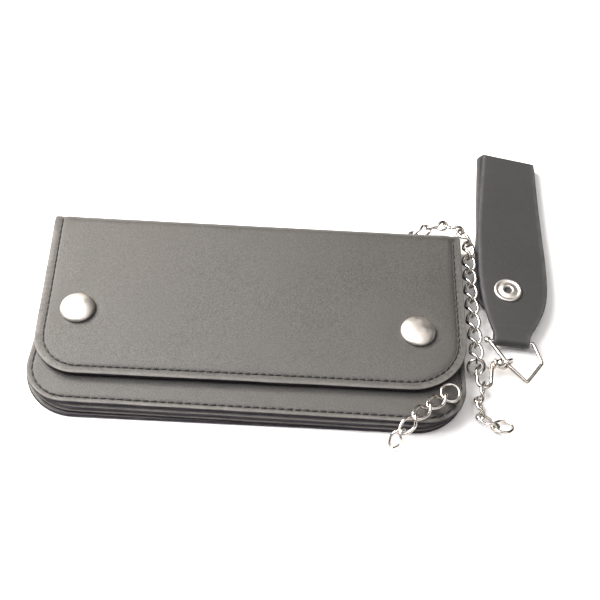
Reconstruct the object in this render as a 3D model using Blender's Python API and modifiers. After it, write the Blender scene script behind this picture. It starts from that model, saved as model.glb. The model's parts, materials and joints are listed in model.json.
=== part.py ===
"""Long leather wallet with a curb chain, a swivel hook and a snap belt strap.

Row frame: origin at the centre of the wallet's back face, +X along the wallet, +Y towards the folded spine,
+Z up through the closed flap.  Units are metres.
"""

import math

import bmesh
import bpy
from mathutils import Matrix, Vector

MM = 0.001
GAP = 0.3 * MM

# Wallet body: a stack of leather panels, from the table upwards.
# The stack sits a little askew under the flap, so its four sides are given one by one.
BODY_LEFT_FRONT = (-98.2 * MM, -50.2 * MM)
BODY_RIGHT_FRONT = (93.4 * MM, -52.4 * MM)
BODY_LEFT = -96.0 * MM                 # at the spine
BODY_RIGHT = 93.2 * MM
SPINE_CREST = 52.0 * MM
BODY_CORNER = 18.0 * MM
EDGE_RADIUS = 0.5 * MM                 # corners that are cut nearly square
COVER_THICKNESS = 1.8 * MM
WALLET_HEIGHT = 13.0 * MM
SPINE_RADIUS = WALLET_HEIGHT / 2
SPINE_AXIS_Y = SPINE_CREST - SPINE_RADIUS

# Flap, with its fold line along the top edge of the spine.
FLAP_LEFT = -94.6 * MM
FLAP_RIGHT = 93.9 * MM
FLAP_FRONT = -37.6 * MM
FLAP_CORNERS = (20.0 * MM, 26.0 * MM)   # left, right
FLAP_UNDERSIDE = WALLET_HEIGHT - COVER_THICKNESS
FLAP_FOLD = (0, SPINE_AXIS_Y, WALLET_HEIGHT)
LINING_THICKNESS = 0.6 * MM
LINING_INSET = 1.5 * MM

# Inner panels: (lowest z, thickness).
BILL_DIVIDER_Z = (2.1 * MM, 0.7 * MM)
COIN_BACK_Z = (3.1 * MM, 0.7 * MM)
ZIP_TAPE_Z = (4.9 * MM, 0.4 * MM)
COIN_FRONT_Z = (5.6 * MM, 0.7 * MM)
CARD_POCKET_Z = (6.6 * MM, 0.7 * MM)
FRONT_PANEL_Z = (7.6 * MM, 1.4 * MM)

# Zip of the coin pocket, lying across the wallet under the flap.
ZIP_Y = 29.0 * MM
ZIP_HALF_LENGTH = 70.0 * MM
ZIP_SLOT_HALF = 3.6 * MM
ZIP_TAPE_HALF = 8.0 * MM
ZIP_BEAD_WIDTH = 1.4 * MM
ZIP_BEAD_HEIGHT = 1.2 * MM
ZIP_BEAD_INNER = 0.7 * MM              # from the zip's middle line to each row of teeth
SLIDER_X = 62.0 * MM
SLIDER_SIZE = (8.0 * MM, 6.0 * MM)
PULL_SIZE = (18.0 * MM, 5.0 * MM, 0.7 * MM)
PULL_PIVOT = 0.65 * MM                 # above the slider's top plate

# Snap fasteners: line 24, 16.3 mm caps on the flap.
SNAP_PLACES = {"left": (-79.8 * MM, -3.5 * MM), "right": (72.0 * MM, -7.0 * MM)}
CAP_RADIUS = 8.15 * MM
CAP_HEIGHT = 2.7 * MM
SNAP_SHAFT_RADIUS = 1.6 * MM
SNAP_HOLE_RADIUS = 1.9 * MM
SOCKET_RADIUS = 5.4 * MM
STUD_RADIUS = 4.6 * MM
TURN_STEPS = 24

# Anchor tab and eyelet, where the chain is fastened behind the spine.
ANCHOR_X = 73.0 * MM
ANCHOR_HOLE_Y = 55.0 * MM
ANCHOR_TAB_Z = (2.6 * MM, 1.2 * MM)
ANCHOR_TAB_HALF = 6.0 * MM
EYELET_BORE = 2.2 * MM
EYELET_BARREL = 2.5 * MM
EYELET_FLANGE = 3.0 * MM

# Curb chain: an oval wire link twisted a quarter turn end to end.
LINK_HALF_LENGTH = 5.3 * MM            # to the wire's centre line
LINK_HALF_WIDTH = 2.8 * MM
LINK_WIRE = 0.7 * MM
LINK_PITCH = 8.4 * MM                  # chain lying slack beside the wallet
FRONT_PITCH = 8.5 * MM                 # drawn over the front edge
LOOSE_PITCH = 7.9 * MM                 # fallen together below the hook
LINK_TWIST = math.radians(90)
LINK_POINTS = 16

# Swivel hook and the wire loop it turns on.
HOOK_WIRE = 0.9 * MM
HOOK_Z = 5.3 * MM
SWIVEL_Y = -16.6 * MM
LOOP_WIRE = 0.9 * MM

# Belt strap, folded at its top, in its own frame: u across, v along from the neck, w up.
STRAP_NECK = Vector((115.3 * MM, -7.7 * MM, 2.9 * MM))
STRAP_LEAN = math.radians(4.2)         # towards +X
STRAP_TILT = math.radians(1.2)         # far end down
STRAP_LENGTH = 116.0 * MM
STRAP_THICKNESS = 1.4 * MM
STRAP_OPENING = 2.2 * MM               # between the two leaves
STRAP_NECK_HALF = 7.5 * MM
STRAP_WIDE_HALF = 16.6 * MM
STRAP_TOP_HALF = 12.4 * MM
STRAP_BACK_END = 19.0 * MM
STRAP_END_ROUND = 9.0 * MM
STRAP_SNAP = (-1.8 * MM, 30.0 * MM)
STRAP_BAR_V = 3.2 * MM
FRONT_LEAF_W = STRAP_THICKNESS + STRAP_OPENING
STRAP_TOP_W = FRONT_LEAF_W + STRAP_THICKNESS
STRAP_BAR_W = FRONT_LEAF_W - LOOP_WIRE - GAP
FOLD_RADIUS = STRAP_TOP_W / 2
FOLD_V = STRAP_LENGTH - FOLD_RADIUS
FOLD_SPLIT = 6.0                        # degrees from the crest to each leaf's end
POST_HOLE_RADIUS = 2.6 * MM


def clear_scene():
    for obj in list(bpy.data.objects):
        bpy.data.objects.remove(obj, do_unlink=True)


def collection(name):
    found = bpy.data.collections.new(name)
    bpy.context.scene.collection.children.link(found)
    return found


def make_material(name, colour, roughness, metallic):
    material = bpy.data.materials.new(name)
    material.use_nodes = True
    shader = material.node_tree.nodes["Principled BSDF"]
    shader.inputs["Base Color"].default_value = (*colour, 1.0)
    shader.inputs["Roughness"].default_value = roughness
    shader.inputs["Metallic"].default_value = metallic
    return material


clear_scene()
PARTS = collection("chain_wallet")
CUTTERS = collection("cutters")
LEATHER = make_material("black_leather", (0.035, 0.033, 0.034), 0.5, 0.0)
STRAP_LEATHER = make_material("strap_leather", (0.045, 0.043, 0.046), 0.6, 0.0)
LINING = make_material("lining_leather", (0.03, 0.028, 0.028), 0.75, 0.0)
NICKEL = make_material("nickel", (0.78, 0.74, 0.70), 0.25, 1.0)
ZIP_CLOTH = make_material("zip_cloth", (0.02, 0.02, 0.022), 0.9, 0.0)


# ---------------------------------------------------------------- objects and outlines

def add_object(name, data, material):
    obj = bpy.data.objects.new(name, data)
    PARTS.objects.link(obj)
    data.materials.append(material)
    return obj


def set_origin(obj, point):
    """Moves the object's origin to point, leaving its shape where it is."""
    bpy.context.view_layer.update()
    place = obj.matrix_world.copy()
    local = place.inverted() @ Vector(point)
    obj.data.transform(Matrix.Translation(-local))
    obj.matrix_world = place @ Matrix.Translation(local)


def pivoted(obj, point):
    """A moving piece: baked, with its origin on its joint's axis."""
    result = baked(obj)
    set_origin(result, point)
    return result


def arc(centre, radius, start, end, count):
    """Points along an arc, angles in degrees, both ends included."""
    points = []
    for i in range(count + 1):
        angle = math.radians(start + (end - start) * i / count)
        points.append((centre[0] + radius * math.cos(angle), centre[1] + radius * math.sin(angle)))
    return points


def rounded_polygon(corners, radii):
    """Outline through the corners, anticlockwise, each rounded by an arc of its own radius."""
    points = []
    count = len(corners)
    for i, corner in enumerate(corners):
        corner = Vector(corner)
        radius = radii[i]
        if radius < 0.02 * MM:
            points.append(tuple(corner))
            continue
        before = (Vector(corners[i - 1]) - corner).normalized()
        after = (Vector(corners[(i + 1) % count]) - corner).normalized()
        half = before.angle(after) / 2
        centre = corner + (before + after).normalized() * radius / math.sin(half)
        reach = radius / math.tan(half)
        start = corner + before * reach - centre
        first = math.degrees(math.atan2(start.y, start.x))
        sweep = 180 - 2 * math.degrees(half)
        steps = 8 if radius > 5 * MM else 2
        points += arc(centre, radius, first, first + sweep, steps)
    return points


def rounded_rectangle(x_range, y_range, radius):
    (x0, x1), (y0, y1) = x_range, y_range
    return rounded_polygon([(x0, y0), (x1, y0), (x1, y1), (x0, y1)], [radius] * 4)


def circle(centre, radius, count=16):
    return arc(centre, radius, 0, 360, count)[:-1]


def flat_curve(name, outlines):
    """A 2D curve filled between its outlines: the first is the edge, the others are holes."""
    data = bpy.data.curves.new(name, "CURVE")
    data.dimensions = "2D"
    data.fill_mode = "BOTH"
    for outline in outlines:
        spline = data.splines.new("POLY")
        spline.points.add(len(outline) - 1)
        for point, (x, y) in zip(spline.points, outline):
            point.co = (x, y, 0, 1)
        spline.use_cyclic_u = True
    return data


def sheet(name, outlines, z_low, thickness, material):
    """A flat panel with the outline and holes given, lying from z_low up."""
    data = flat_curve(name, outlines)
    data.extrude = thickness / 2
    obj = add_object(name, data, material)
    obj.location.z = z_low + thickness / 2
    return obj


def baked(obj):
    """Turns a curve object into a welded mesh object of the same name and place."""
    bpy.context.view_layer.update()
    evaluated = obj.evaluated_get(bpy.context.evaluated_depsgraph_get())
    mesh = bpy.data.meshes.new_from_object(evaluated)
    matrix = obj.matrix_world.copy()
    name = obj.name
    home = obj.users_collection[0]
    bpy.data.objects.remove(obj, do_unlink=True)
    work = bmesh.new()
    work.from_mesh(mesh)
    bmesh.ops.remove_doubles(work, verts=work.verts, dist=0.001 * MM)
    work.to_mesh(mesh)
    work.free()
    result = bpy.data.objects.new(name, mesh)
    home.objects.link(result)
    result.matrix_world = matrix
    return result


def prism(name, section, low, length, material):
    """A section of (y, z) points pushed along +X from low."""
    data = flat_curve(name, [section])
    data.extrude = length / 2
    obj = add_object(name, data, material)
    middle = low + length / 2
    obj.matrix_world = Matrix(((0, 0, 1, middle), (1, 0, 0, 0), (0, 1, 0, 0), (0, 0, 0, 1)))
    return obj


def turned(name, profile, material, closed=False, steps=TURN_STEPS):
    """A solid of revolution about Z from (radius, z) pairs, top to bottom down its outer side."""
    mesh = bpy.data.meshes.new(name)
    work = bmesh.new()
    corners = [work.verts.new((radius, 0, z)) for radius, z in profile]
    for first, second in zip(corners, corners[1:]):
        work.edges.new((first, second))
    if closed:
        work.edges.new((corners[-1], corners[0]))
    work.to_mesh(mesh)
    work.free()
    obj = add_object(name, mesh, material)
    screw = obj.modifiers.new("turn", "SCREW")
    screw.steps = steps
    screw.render_steps = steps
    screw.use_merge_vertices = True
    screw.merge_threshold = 0.00001
    return obj


def wire(name, points, radius, material, cyclic=True, sides=1):
    """A round wire along points; sides is the curve's bevel resolution."""
    data = bpy.data.curves.new(name, "CURVE")
    data.dimensions = "3D"
    data.bevel_depth = radius
    data.bevel_resolution = sides
    data.use_fill_caps = not cyclic
    spline = data.splines.new("POLY")
    spline.points.add(len(points) - 1)
    for point, place in zip(spline.points, points):
        point.co = (*place, 1)
    spline.use_cyclic_u = cyclic
    return add_object(name, data, material)


def box(name, low, high, material):
    data = bpy.data.meshes.new(name)
    work = bmesh.new()
    size = [b - a for a, b in zip(low, high)]
    middle = [(a + b) / 2 for a, b in zip(low, high)]
    bmesh.ops.create_cube(work, size=1.0, matrix=Matrix.LocRotScale(middle, None, size))
    work.to_mesh(data)
    work.free()
    return add_object(name, data, material)


def as_cutter(obj):
    """Hides a shape that only serves a Boolean."""
    for home in obj.users_collection:
        home.objects.unlink(obj)
    CUTTERS.objects.link(obj)
    obj.hide_render = True
    obj.display_type = "WIRE"
    return obj


def boolean(obj, tool, operation):
    modifier = obj.modifiers.new(operation.lower(), "BOOLEAN")
    modifier.operation = operation
    modifier.object = as_cutter(tool)
    modifier.solver = "EXACT"


# ---------------------------------------------------------------- wallet panels

def body_outline(inset, top, top_radius=EDGE_RADIUS):
    """A panel of the stack, drawn in by inset on its three sewn sides, up to top."""
    corners = [(BODY_LEFT_FRONT[0] + inset, BODY_LEFT_FRONT[1] + inset),
               (BODY_RIGHT_FRONT[0] - inset, BODY_RIGHT_FRONT[1] + inset),
               (BODY_RIGHT - inset, top), (BODY_LEFT + inset, top)]
    front = BODY_CORNER - inset
    return rounded_polygon(corners, [front, front, top_radius, top_radius])


def snap_circles(radius):
    return [circle(place, radius) for place in SNAP_PLACES.values()]


def cover_back():
    """Back panel and the rounded spine it runs up into, with a slot for the anchor tab."""
    outer = SPINE_RADIUS
    inner = SPINE_RADIUS - COVER_THICKNESS
    centre = (SPINE_AXIS_Y, SPINE_RADIUS)
    section = arc(centre, outer, -90, 90, 12) + arc(centre, inner, 90, -90, 12)
    spine = baked(prism("cover_spine", section, BODY_LEFT, BODY_RIGHT - BODY_LEFT, LEATHER))
    panel = sheet("cover_panel", [body_outline(0, SPINE_AXIS_Y, 0)], 0, COVER_THICKNESS, LEATHER)
    cover = baked(panel)
    cover.name = "cover_back"
    boolean(cover, spine, "UNION")
    low, thickness = ANCHOR_TAB_Z
    slot = box("anchor_slot", (ANCHOR_X - ANCHOR_TAB_HALF - GAP, SPINE_AXIS_Y + 1 * MM, low - GAP),
               (ANCHOR_X + ANCHOR_TAB_HALF + GAP, SPINE_CREST + 1 * MM, low + thickness + GAP), LEATHER)
    boolean(cover, slot, "DIFFERENCE")


def flap_outline(inset, top):
    corners = [(FLAP_LEFT + inset, FLAP_FRONT + inset), (FLAP_RIGHT - inset, FLAP_FRONT + inset),
               (FLAP_RIGHT - inset, top), (FLAP_LEFT + inset, top)]
    left, right = FLAP_CORNERS
    return rounded_polygon(corners, [left - inset, right - inset, EDGE_RADIUS, EDGE_RADIUS])


def cover_flap():
    flap = sheet("cover_flap", [flap_outline(0, SPINE_AXIS_Y - GAP)] + snap_circles(SNAP_HOLE_RADIUS),
                 FLAP_UNDERSIDE, COVER_THICKNESS, LEATHER)
    outline = flap_outline(LINING_INSET, SPINE_AXIS_Y - 2 * MM)
    lining = sheet("flap_lining", [outline] + snap_circles(SOCKET_RADIUS + GAP),
                   FLAP_UNDERSIDE - GAP - LINING_THICKNESS, LINING_THICKNESS, LINING)
    for piece in (flap, lining):
        pivoted(piece, FLAP_FOLD)


def body_panels():
    """The panels between the back and the flap, whose mouths open under the flap."""
    def panel(name, inset, top, level, holes=(), material=LEATHER):
        sheet(name, [body_outline(inset, top)] + list(holes), level[0], level[1], material)

    panel("bill_divider", 0.8 * MM, 38 * MM, BILL_DIVIDER_Z, material=LINING)
    panel("coin_pocket_back", 0.3 * MM, 39 * MM, COIN_BACK_Z)
    panel("coin_pocket_front", 0.9 * MM, ZIP_Y - ZIP_SLOT_HALF, COIN_FRONT_Z)
    panel("front_panel", 0.5 * MM, 16 * MM, FRONT_PANEL_Z, snap_circles(SNAP_HOLE_RADIUS))
    strip = rounded_rectangle((BODY_LEFT + 1 * MM, BODY_RIGHT - 1 * MM),
                              (ZIP_Y + ZIP_SLOT_HALF, 40 * MM), EDGE_RADIUS)
    sheet("coin_pocket_top_strip", [strip], *COIN_FRONT_Z, LEATHER)


def card_pockets():
    """Two card pockets side by side behind the front panel, each with a thumb notch."""
    top = 20 * MM
    notch_radius = 9 * MM
    notch_rise = 4 * MM
    half_angle = math.degrees(math.asin(notch_rise / notch_radius))
    for name, x0, x1 in (("left", -73 * MM, -4 * MM), ("right", -3 * MM, 66 * MM)):
        middle = (x0 + x1) / 2
        outline = [(x0, -44 * MM), (x1, -44 * MM), (x1, top)]
        outline += arc((middle, top + notch_rise), notch_radius, -half_angle, -180 + half_angle, 8)
        outline += [(x0, top)]
        sheet("card_pocket_" + name, [outline], *CARD_POCKET_Z, LINING)


# ---------------------------------------------------------------- zip

def zip_tapes():
    """Each tape is a flat ribbon with a raised row of teeth along its inner edge."""
    low, thickness = ZIP_TAPE_Z
    for name, side in (("lower", -1), ("upper", 1)):
        bead = ZIP_Y + side * ZIP_BEAD_INNER
        foot = bead + side * ZIP_BEAD_WIDTH
        edge = ZIP_Y + side * ZIP_TAPE_HALF
        section = [(bead, low), (edge, low), (edge, low + thickness), (foot, low + thickness),
                   (foot, low + ZIP_BEAD_HEIGHT), (bead, low + ZIP_BEAD_HEIGHT)]
        prism("zip_tape_" + name, section, -ZIP_HALF_LENGTH, 2 * ZIP_HALF_LENGTH, ZIP_CLOTH)


def zip_stops():
    """A clamp across both rows of teeth at each end."""
    half = ZIP_BEAD_INNER + ZIP_BEAD_WIDTH + 0.3 * MM
    low = ZIP_TAPE_Z[0]
    for name, x in (("left", -ZIP_HALF_LENGTH - 2.2 * MM), ("right", ZIP_HALF_LENGTH + 0.4 * MM)):
        box("zip_stop_" + name, (x, ZIP_Y - half, low - 0.2 * MM),
            (x + 1.8 * MM, ZIP_Y + half, low + ZIP_BEAD_HEIGHT + 0.2 * MM), NICKEL)


def zip_slider():
    """Two plates round the teeth, joined at the nose, with a crown that holds the pull."""
    length, width = SLIDER_SIZE
    low = ZIP_TAPE_Z[0] - GAP
    high = ZIP_TAPE_Z[0] + ZIP_BEAD_HEIGHT + GAP
    plate = 0.5 * MM
    neck_half = 0.4 * MM
    x0 = SLIDER_X - length / 2
    x1 = SLIDER_X + length / 2
    outline = rounded_rectangle((x0, x1), (ZIP_Y - width / 2, ZIP_Y + width / 2), 1.5 * MM)
    slider = baked(sheet("zip_slider", [outline], high, plate, NICKEL))
    bottom = baked(sheet("slider_bottom", [outline], low - plate, plate, NICKEL))
    neck = box("slider_neck", (x1 - 2.5 * MM, ZIP_Y - neck_half, low - plate / 2),
               (x1 - 0.5 * MM, ZIP_Y + neck_half, high + plate / 2), NICKEL)
    crown_z = high + plate
    crown_points = [(x, ZIP_Y, z) for x, z in arc((SLIDER_X, crown_z - 0.2 * MM), 2.0 * MM, -8, 188, 8)]
    crown = baked(wire("slider_crown", crown_points, 0.45 * MM, NICKEL, cyclic=False))
    for tool in (bottom, neck, crown):
        boolean(slider, tool, "UNION")
    return crown_z


def zip_pull(crown_z):
    """A flat tab whose end bar sits under the crown, lying back along the zip."""
    length, width, thickness = PULL_SIZE
    bar_half = 0.6 * MM
    y_range = (ZIP_Y - width / 2, ZIP_Y + width / 2)
    tab = rounded_rectangle((SLIDER_X - length, SLIDER_X + bar_half), y_range, 0.9 * MM)
    eye = rounded_rectangle((SLIDER_X - 3.4 * MM, SLIDER_X - bar_half), (ZIP_Y - 1.5 * MM, ZIP_Y + 1.5 * MM),
                            0.3 * MM)
    pull = sheet("zip_pull", [tab, eye], crown_z + GAP, thickness, NICKEL)
    pivoted(pull, (SLIDER_X, ZIP_Y, crown_z + PULL_PIVOT))


# ---------------------------------------------------------------- snaps

def dome_profile(radius, height, shaft_radius, shaft_end, base=0.0):
    """Domed cap over a shaft: (radius, z) pairs, apex first."""
    rim = 0.5 * MM
    points = []
    steps = 6
    for i in range(steps + 1):
        angle = math.pi / 2 * i / steps
        points.append((radius * math.sin(angle), base + rim + (height - rim) * math.cos(angle)))
    points += [(radius, base + 0.1 * MM), (radius - 0.6 * MM, base), (shaft_radius, base)]
    points += [(shaft_radius, shaft_end), (0, shaft_end)]
    return points


def socket_profile(low, high):
    """A press-stud socket: a flange with a raised lip round the hole."""
    flange = 0.4 * MM
    return [(2.4 * MM, high), (SOCKET_RADIUS, high), (SOCKET_RADIUS, high - flange),
            (3.9 * MM, high - flange), (3.6 * MM, low), (2.4 * MM, low)]


def stud_profile(low, flange_top, top):
    """A press stud: a flange with a waisted button."""
    return [(0, top), (1.7 * MM, top), (1.9 * MM, top - 0.3 * MM), (1.7 * MM, flange_top),
            (STUD_RADIUS, flange_top), (STUD_RADIUS, low), (0, low)]


def post_profile(flange_low, flange_top, shaft_top):
    return [(0, shaft_top), (SNAP_SHAFT_RADIUS, shaft_top), (SNAP_SHAFT_RADIUS, flange_top),
            (STUD_RADIUS, flange_top), (STUD_RADIUS, flange_low), (0, flange_low)]


def wallet_snaps():
    panel_top = FRONT_PANEL_Z[0] + FRONT_PANEL_Z[1]
    stud_low = panel_top + GAP
    socket_low = stud_low + 0.6 * MM
    shaft_end = FLAP_UNDERSIDE - 0.3 * MM
    for side, (x, y) in SNAP_PLACES.items():
        shapes = (
            ("snap_cap_", dome_profile(CAP_RADIUS, CAP_HEIGHT, SNAP_SHAFT_RADIUS,
                                       shaft_end, WALLET_HEIGHT + GAP), False),
            ("snap_socket_", socket_profile(socket_low, FLAP_UNDERSIDE - GAP), True),
            ("snap_stud_", stud_profile(stud_low, stud_low + 0.3 * MM, stud_low + 1.3 * MM), False),
            ("snap_post_", post_profile(FRONT_PANEL_Z[0] - GAP - 0.3 * MM, FRONT_PANEL_Z[0] - GAP,
                                        panel_top), False),
        )
        for name, profile, closed in shapes:
            obj = turned(name + side, profile, NICKEL, closed)
            obj.location = (x, y, 0)
            if name in ("snap_cap_", "snap_socket_"):
                pivoted(obj, FLAP_FOLD)


# ---------------------------------------------------------------- anchor

def anchor():
    low, thickness = ANCHOR_TAB_Z
    tip = ANCHOR_HOLE_Y + 3.2 * MM
    x0 = ANCHOR_X - ANCHOR_TAB_HALF
    x1 = ANCHOR_X + ANCHOR_TAB_HALF
    base = 40.6 * MM
    round_radius = 3.2 * MM
    outline = [(x0, base), (x1, base), (x1, SPINE_CREST)]
    outline += arc((ANCHOR_X, ANCHOR_HOLE_Y), round_radius, 10, 170, 8)
    outline += [(x0, SPINE_CREST)]
    sheet("anchor_tab", [outline, circle((ANCHOR_X, ANCHOR_HOLE_Y), EYELET_BARREL + GAP)],
          low, thickness, LEATHER)
    top = low + thickness
    flange = 0.3 * MM
    profile = [(EYELET_BORE, top + GAP + flange), (EYELET_FLANGE - 0.3 * MM, top + GAP + flange),
               (EYELET_FLANGE, top + GAP), (EYELET_BARREL, top + GAP), (EYELET_BARREL, low - GAP),
               (EYELET_FLANGE, low - GAP), (EYELET_FLANGE - 0.3 * MM, low - GAP - flange),
               (EYELET_BORE, low - GAP - flange)]
    eyelet = turned("anchor_eyelet", profile, NICKEL, closed=True)
    eyelet.location = (ANCHOR_X, ANCHOR_HOLE_Y, 0)
    return Vector((ANCHOR_X, ANCHOR_HOLE_Y, low + thickness / 2))


# ---------------------------------------------------------------- chain

def smooth_path(points, per_span=24):
    """A Catmull-Rom curve through the points, as closely spaced samples."""
    points = [Vector(p) for p in points]
    padded = [2 * points[0] - points[1]] + points + [2 * points[-1] - points[-2]]
    samples = []
    for i in range(1, len(padded) - 2):
        a, b, c, d = padded[i - 1:i + 3]
        for step in range(per_span):
            t = step / per_span
            samples.append(0.5 * ((2 * b) + (c - a) * t + (2 * a - 5 * b + 4 * c - d) * t * t
                                  + (3 * b - a - 3 * c + d) * t ** 3))
    samples.append(points[-1])
    return samples


def stations(path, pitch, count):
    """count + 1 points along the path, each one pitch from the last in a straight line."""
    found = [path[0]]
    for first, second in zip(path, path[1:]):
        while len(found) <= count and (second - found[-1]).length >= pitch:
            low, high = 0.0, 1.0
            for _ in range(30):
                middle = (low + high) / 2
                if (first.lerp(second, middle) - found[-1]).length < pitch:
                    low = middle
                else:
                    high = middle
            found.append(first.lerp(second, high))
    return found


def link_points(centre, direction, roll):
    """The wire's centre line of a twisted oval link."""
    along = direction.normalized()
    side = along.cross(Vector((0, 0, 1))).normalized()
    up = side.cross(along)
    points = []
    for i in range(LINK_POINTS):
        t = 2 * math.pi * i / LINK_POINTS
        x = LINK_HALF_LENGTH * math.cos(t)
        width = LINK_HALF_WIDTH * math.sin(t)
        turn = roll + LINK_TWIST / 2 * math.cos(t)
        points.append(centre + along * x + (side * math.cos(turn) + up * math.sin(turn)) * width)
    return points


def chain_run(prefix, way_points, pitch, rolls):
    """Links along a path; each has its origin where it hangs on the link before it."""
    ends = stations(smooth_path(way_points), pitch, len(rolls))
    for i, roll in enumerate(rolls):
        near, far = ends[i], ends[i + 1]
        name = "%s_%02d" % (prefix, i + 1)
        link = wire(name, link_points((near + far) / 2, far - near, math.radians(roll)),
                    LINK_WIRE, NICKEL)
        set_origin(link, near)
    return ends


def ring(name, centre, normal, radius, hinge, count=18):
    """A round ring; its normal lies in the YZ plane, so one diameter runs along X."""
    across = Vector((1, 0, 0))
    along = Vector(normal).cross(across).normalized()
    points = []
    for i in range(count):
        t = 2 * math.pi * i / count
        points.append(Vector(centre) + (across * math.cos(t) + along * math.sin(t)) * radius)
    set_origin(wire(name, points, LINK_WIRE, NICKEL), hinge)


def mm(*values):
    return Vector(values) * MM


def chain():
    """Long run: from the anchor round the wallet's corner and down its side to the hook's ring."""
    path = [anchor(), mm(78.5, 58.6, 4.2), mm(83.5, 60.9, 5.2), mm(90.5, 60.3, 6.0), mm(96.3, 55.8, 6.8),
            mm(98.7, 48.6, 7.4), mm(98.2, 40, 7.8), mm(98.1, 10, 8.2), mm(98.3, -6, 8.8), mm(98.6, -24, 9.6)]
    rolls = [135, 105, 90, 75, 60] + [45] * 7
    return chain_run("chain_a", path, LINK_PITCH, rolls)[-1]


def chain_front():
    """Short run: from the table up over the wallet's front edge, ending in a round ring."""
    path = [mm(60.6, -59.0, 3.2), mm(62.6, -57.6, 6.8), mm(66.4, -53.8, 12.4), mm(72.4, -47.4, 13.0),
            mm(79.0, -42.0, 12.6), mm(85.8, -36.9, 12.4), mm(93.0, -31.2, 12.3)]
    end = chain_run("chain_b", path, FRONT_PITCH, [45, 45, 45, 45])[-1]
    ring("chain_b_ring", end + mm(2.43, 1.85, -0.09), (0, -0.1, 1), 4.0 * MM, end)


# ---------------------------------------------------------------- hook, swivel and loop

def hook(ring_hinge):
    """J-shaped wire body with its tip through the chain's ring, and a gate that closes it."""
    ring("hook_ring", ring_hinge + mm(0, -1.745, -2.96), (0, -0.8, 0.6), 3.7 * MM, ring_hinge)
    shank = [(108.6, -16.6), (107.0, -16.6), (106.2, -17.3), (104.95, -25.8)]
    tip = [(98.85, -21.6), (99.1, -20.0), (99.8, -19.1), (100.6, -18.9)]
    bend = [(x / MM, y / MM) for x, y in arc(mm(101.9, -26.4), 3.05 * MM, 0, -180, 9)]
    level = HOOK_Z / MM
    body = wire("hook_body", [mm(x, y, level) for x, y in shank + bend + tip], HOOK_WIRE, NICKEL,
                cyclic=False, sides=2)
    set_origin(body, mm(98.9, -20.7, level))
    gate_hinge = mm(104.3, -19.4, level)
    gate = wire("hook_gate", [gate_hinge, mm(102.3, -18.9, level)], 0.55 * MM, NICKEL, cyclic=False)
    set_origin(gate, gate_hinge)


def chain_loose_end():
    """Three links fallen together under the hook, with the chain's end ring."""
    path = [mm(101.7, -28.3, 5.3), mm(99.7, -33.0, 4.8), mm(98.6, -38.5, 4.1), mm(99.6, -44.0, 3.8),
            mm(103.3, -47.6, 3.6), mm(108.0, -48.2, 3.3), mm(113.0, -48.0, 3.2)]
    end = chain_run("chain_c", path, LOOSE_PITCH, [120, 105, 75])[-1]
    ring("end_ring", end + mm(3.3, 0.6, -0.2), (0, 0.5, 1), 4.2 * MM, end)


def swivel():
    """A barrel with a blind bore for the hook's shank, carrying an eye round the wire loop."""
    start = 106.9 * MM
    length = 3.6 * MM
    bore = HOOK_WIRE + GAP
    profile = [(0, length), (1.9 * MM, length), (2.4 * MM, length - 0.5 * MM), (2.4 * MM, length - 1.3 * MM),
               (1.9 * MM, length - 1.6 * MM), (1.9 * MM, 0.9 * MM), (2.4 * MM, 0.7 * MM), (2.4 * MM, 0),
               (bore, 0), (bore, 2.1 * MM), (0, 2.1 * MM)]
    barrel = turned("swivel_eye", profile, NICKEL)
    turn = Matrix.Rotation(math.radians(90), 4, "Y")
    barrel.matrix_world = Matrix.Translation((start, SWIVEL_Y, HOOK_Z)) @ turn
    centre = Vector((start + length + 2.4 * MM, SWIVEL_Y, HOOK_Z))
    points = []
    for i in range(16):
        t = 2 * math.pi * i / 16
        points.append(centre + Vector((math.cos(t) * math.cos(math.radians(30)),
                                       math.cos(t) * math.sin(math.radians(30)), math.sin(t))) * 2.8 * MM)
    eye = baked(wire("eye", points, 0.7 * MM, NICKEL))
    barrel = pivoted(barrel, (start, SWIVEL_Y, HOOK_Z))
    boolean(barrel, eye, "UNION")


def strap_matrix():
    lean = Matrix.Rotation(-STRAP_LEAN, 4, "Z")
    tilt = Matrix.Rotation(-STRAP_TILT, 4, "X")
    return Matrix.Translation(STRAP_NECK) @ lean @ tilt


def strap_point(u, v, w):
    return strap_matrix() @ Vector((u, v, w))


def fold_crest():
    """The outermost line of the top fold, where the two leaves hinge."""
    return strap_point(0, STRAP_LENGTH, FOLD_RADIUS)


def wire_loop():
    """Five-sided loop with its long bar in the strap's neck."""
    left = strap_point(-11.6 * MM, STRAP_BAR_V, STRAP_BAR_W)
    right = strap_point(10.0 * MM, STRAP_BAR_V, STRAP_BAR_W)
    corners = [left, mm(114.0, -18.2, 5.3), mm(121.4, -24.8, 3.4), mm(128.9, -15.0, 4.4), right]
    points = []
    count = len(corners)
    for i, corner in enumerate(corners):
        before = (corners[i - 1] - corner).normalized()
        after = (corners[(i + 1) % count] - corner).normalized()
        cut = 1.4 * MM
        points += [corner + before * cut, corner + (before + after) * cut * 0.28, corner + after * cut]
    loop = wire("wire_loop", points, LOOP_WIRE, NICKEL, cyclic=True, sides=2)
    set_origin(loop, mm(112.8, -16.7, 5.3))


# ---------------------------------------------------------------- belt strap

def strap_half_width(v):
    """Bottle shape: narrow neck, rounded shoulder, then a slow taper to the fold."""
    shoulder_start = 3 * MM
    widest = 46 * MM
    if v <= shoulder_start:
        return STRAP_NECK_HALF
    if v < widest:
        t = (v - shoulder_start) / (widest - shoulder_start)
        rise = math.sin(t * math.pi / 2) ** 0.92
        return STRAP_NECK_HALF + (STRAP_WIDE_HALF - STRAP_NECK_HALF) * rise
    t = (v - widest) / (STRAP_LENGTH - widest)
    return STRAP_WIDE_HALF + (STRAP_TOP_HALF - STRAP_WIDE_HALF) * t


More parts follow.
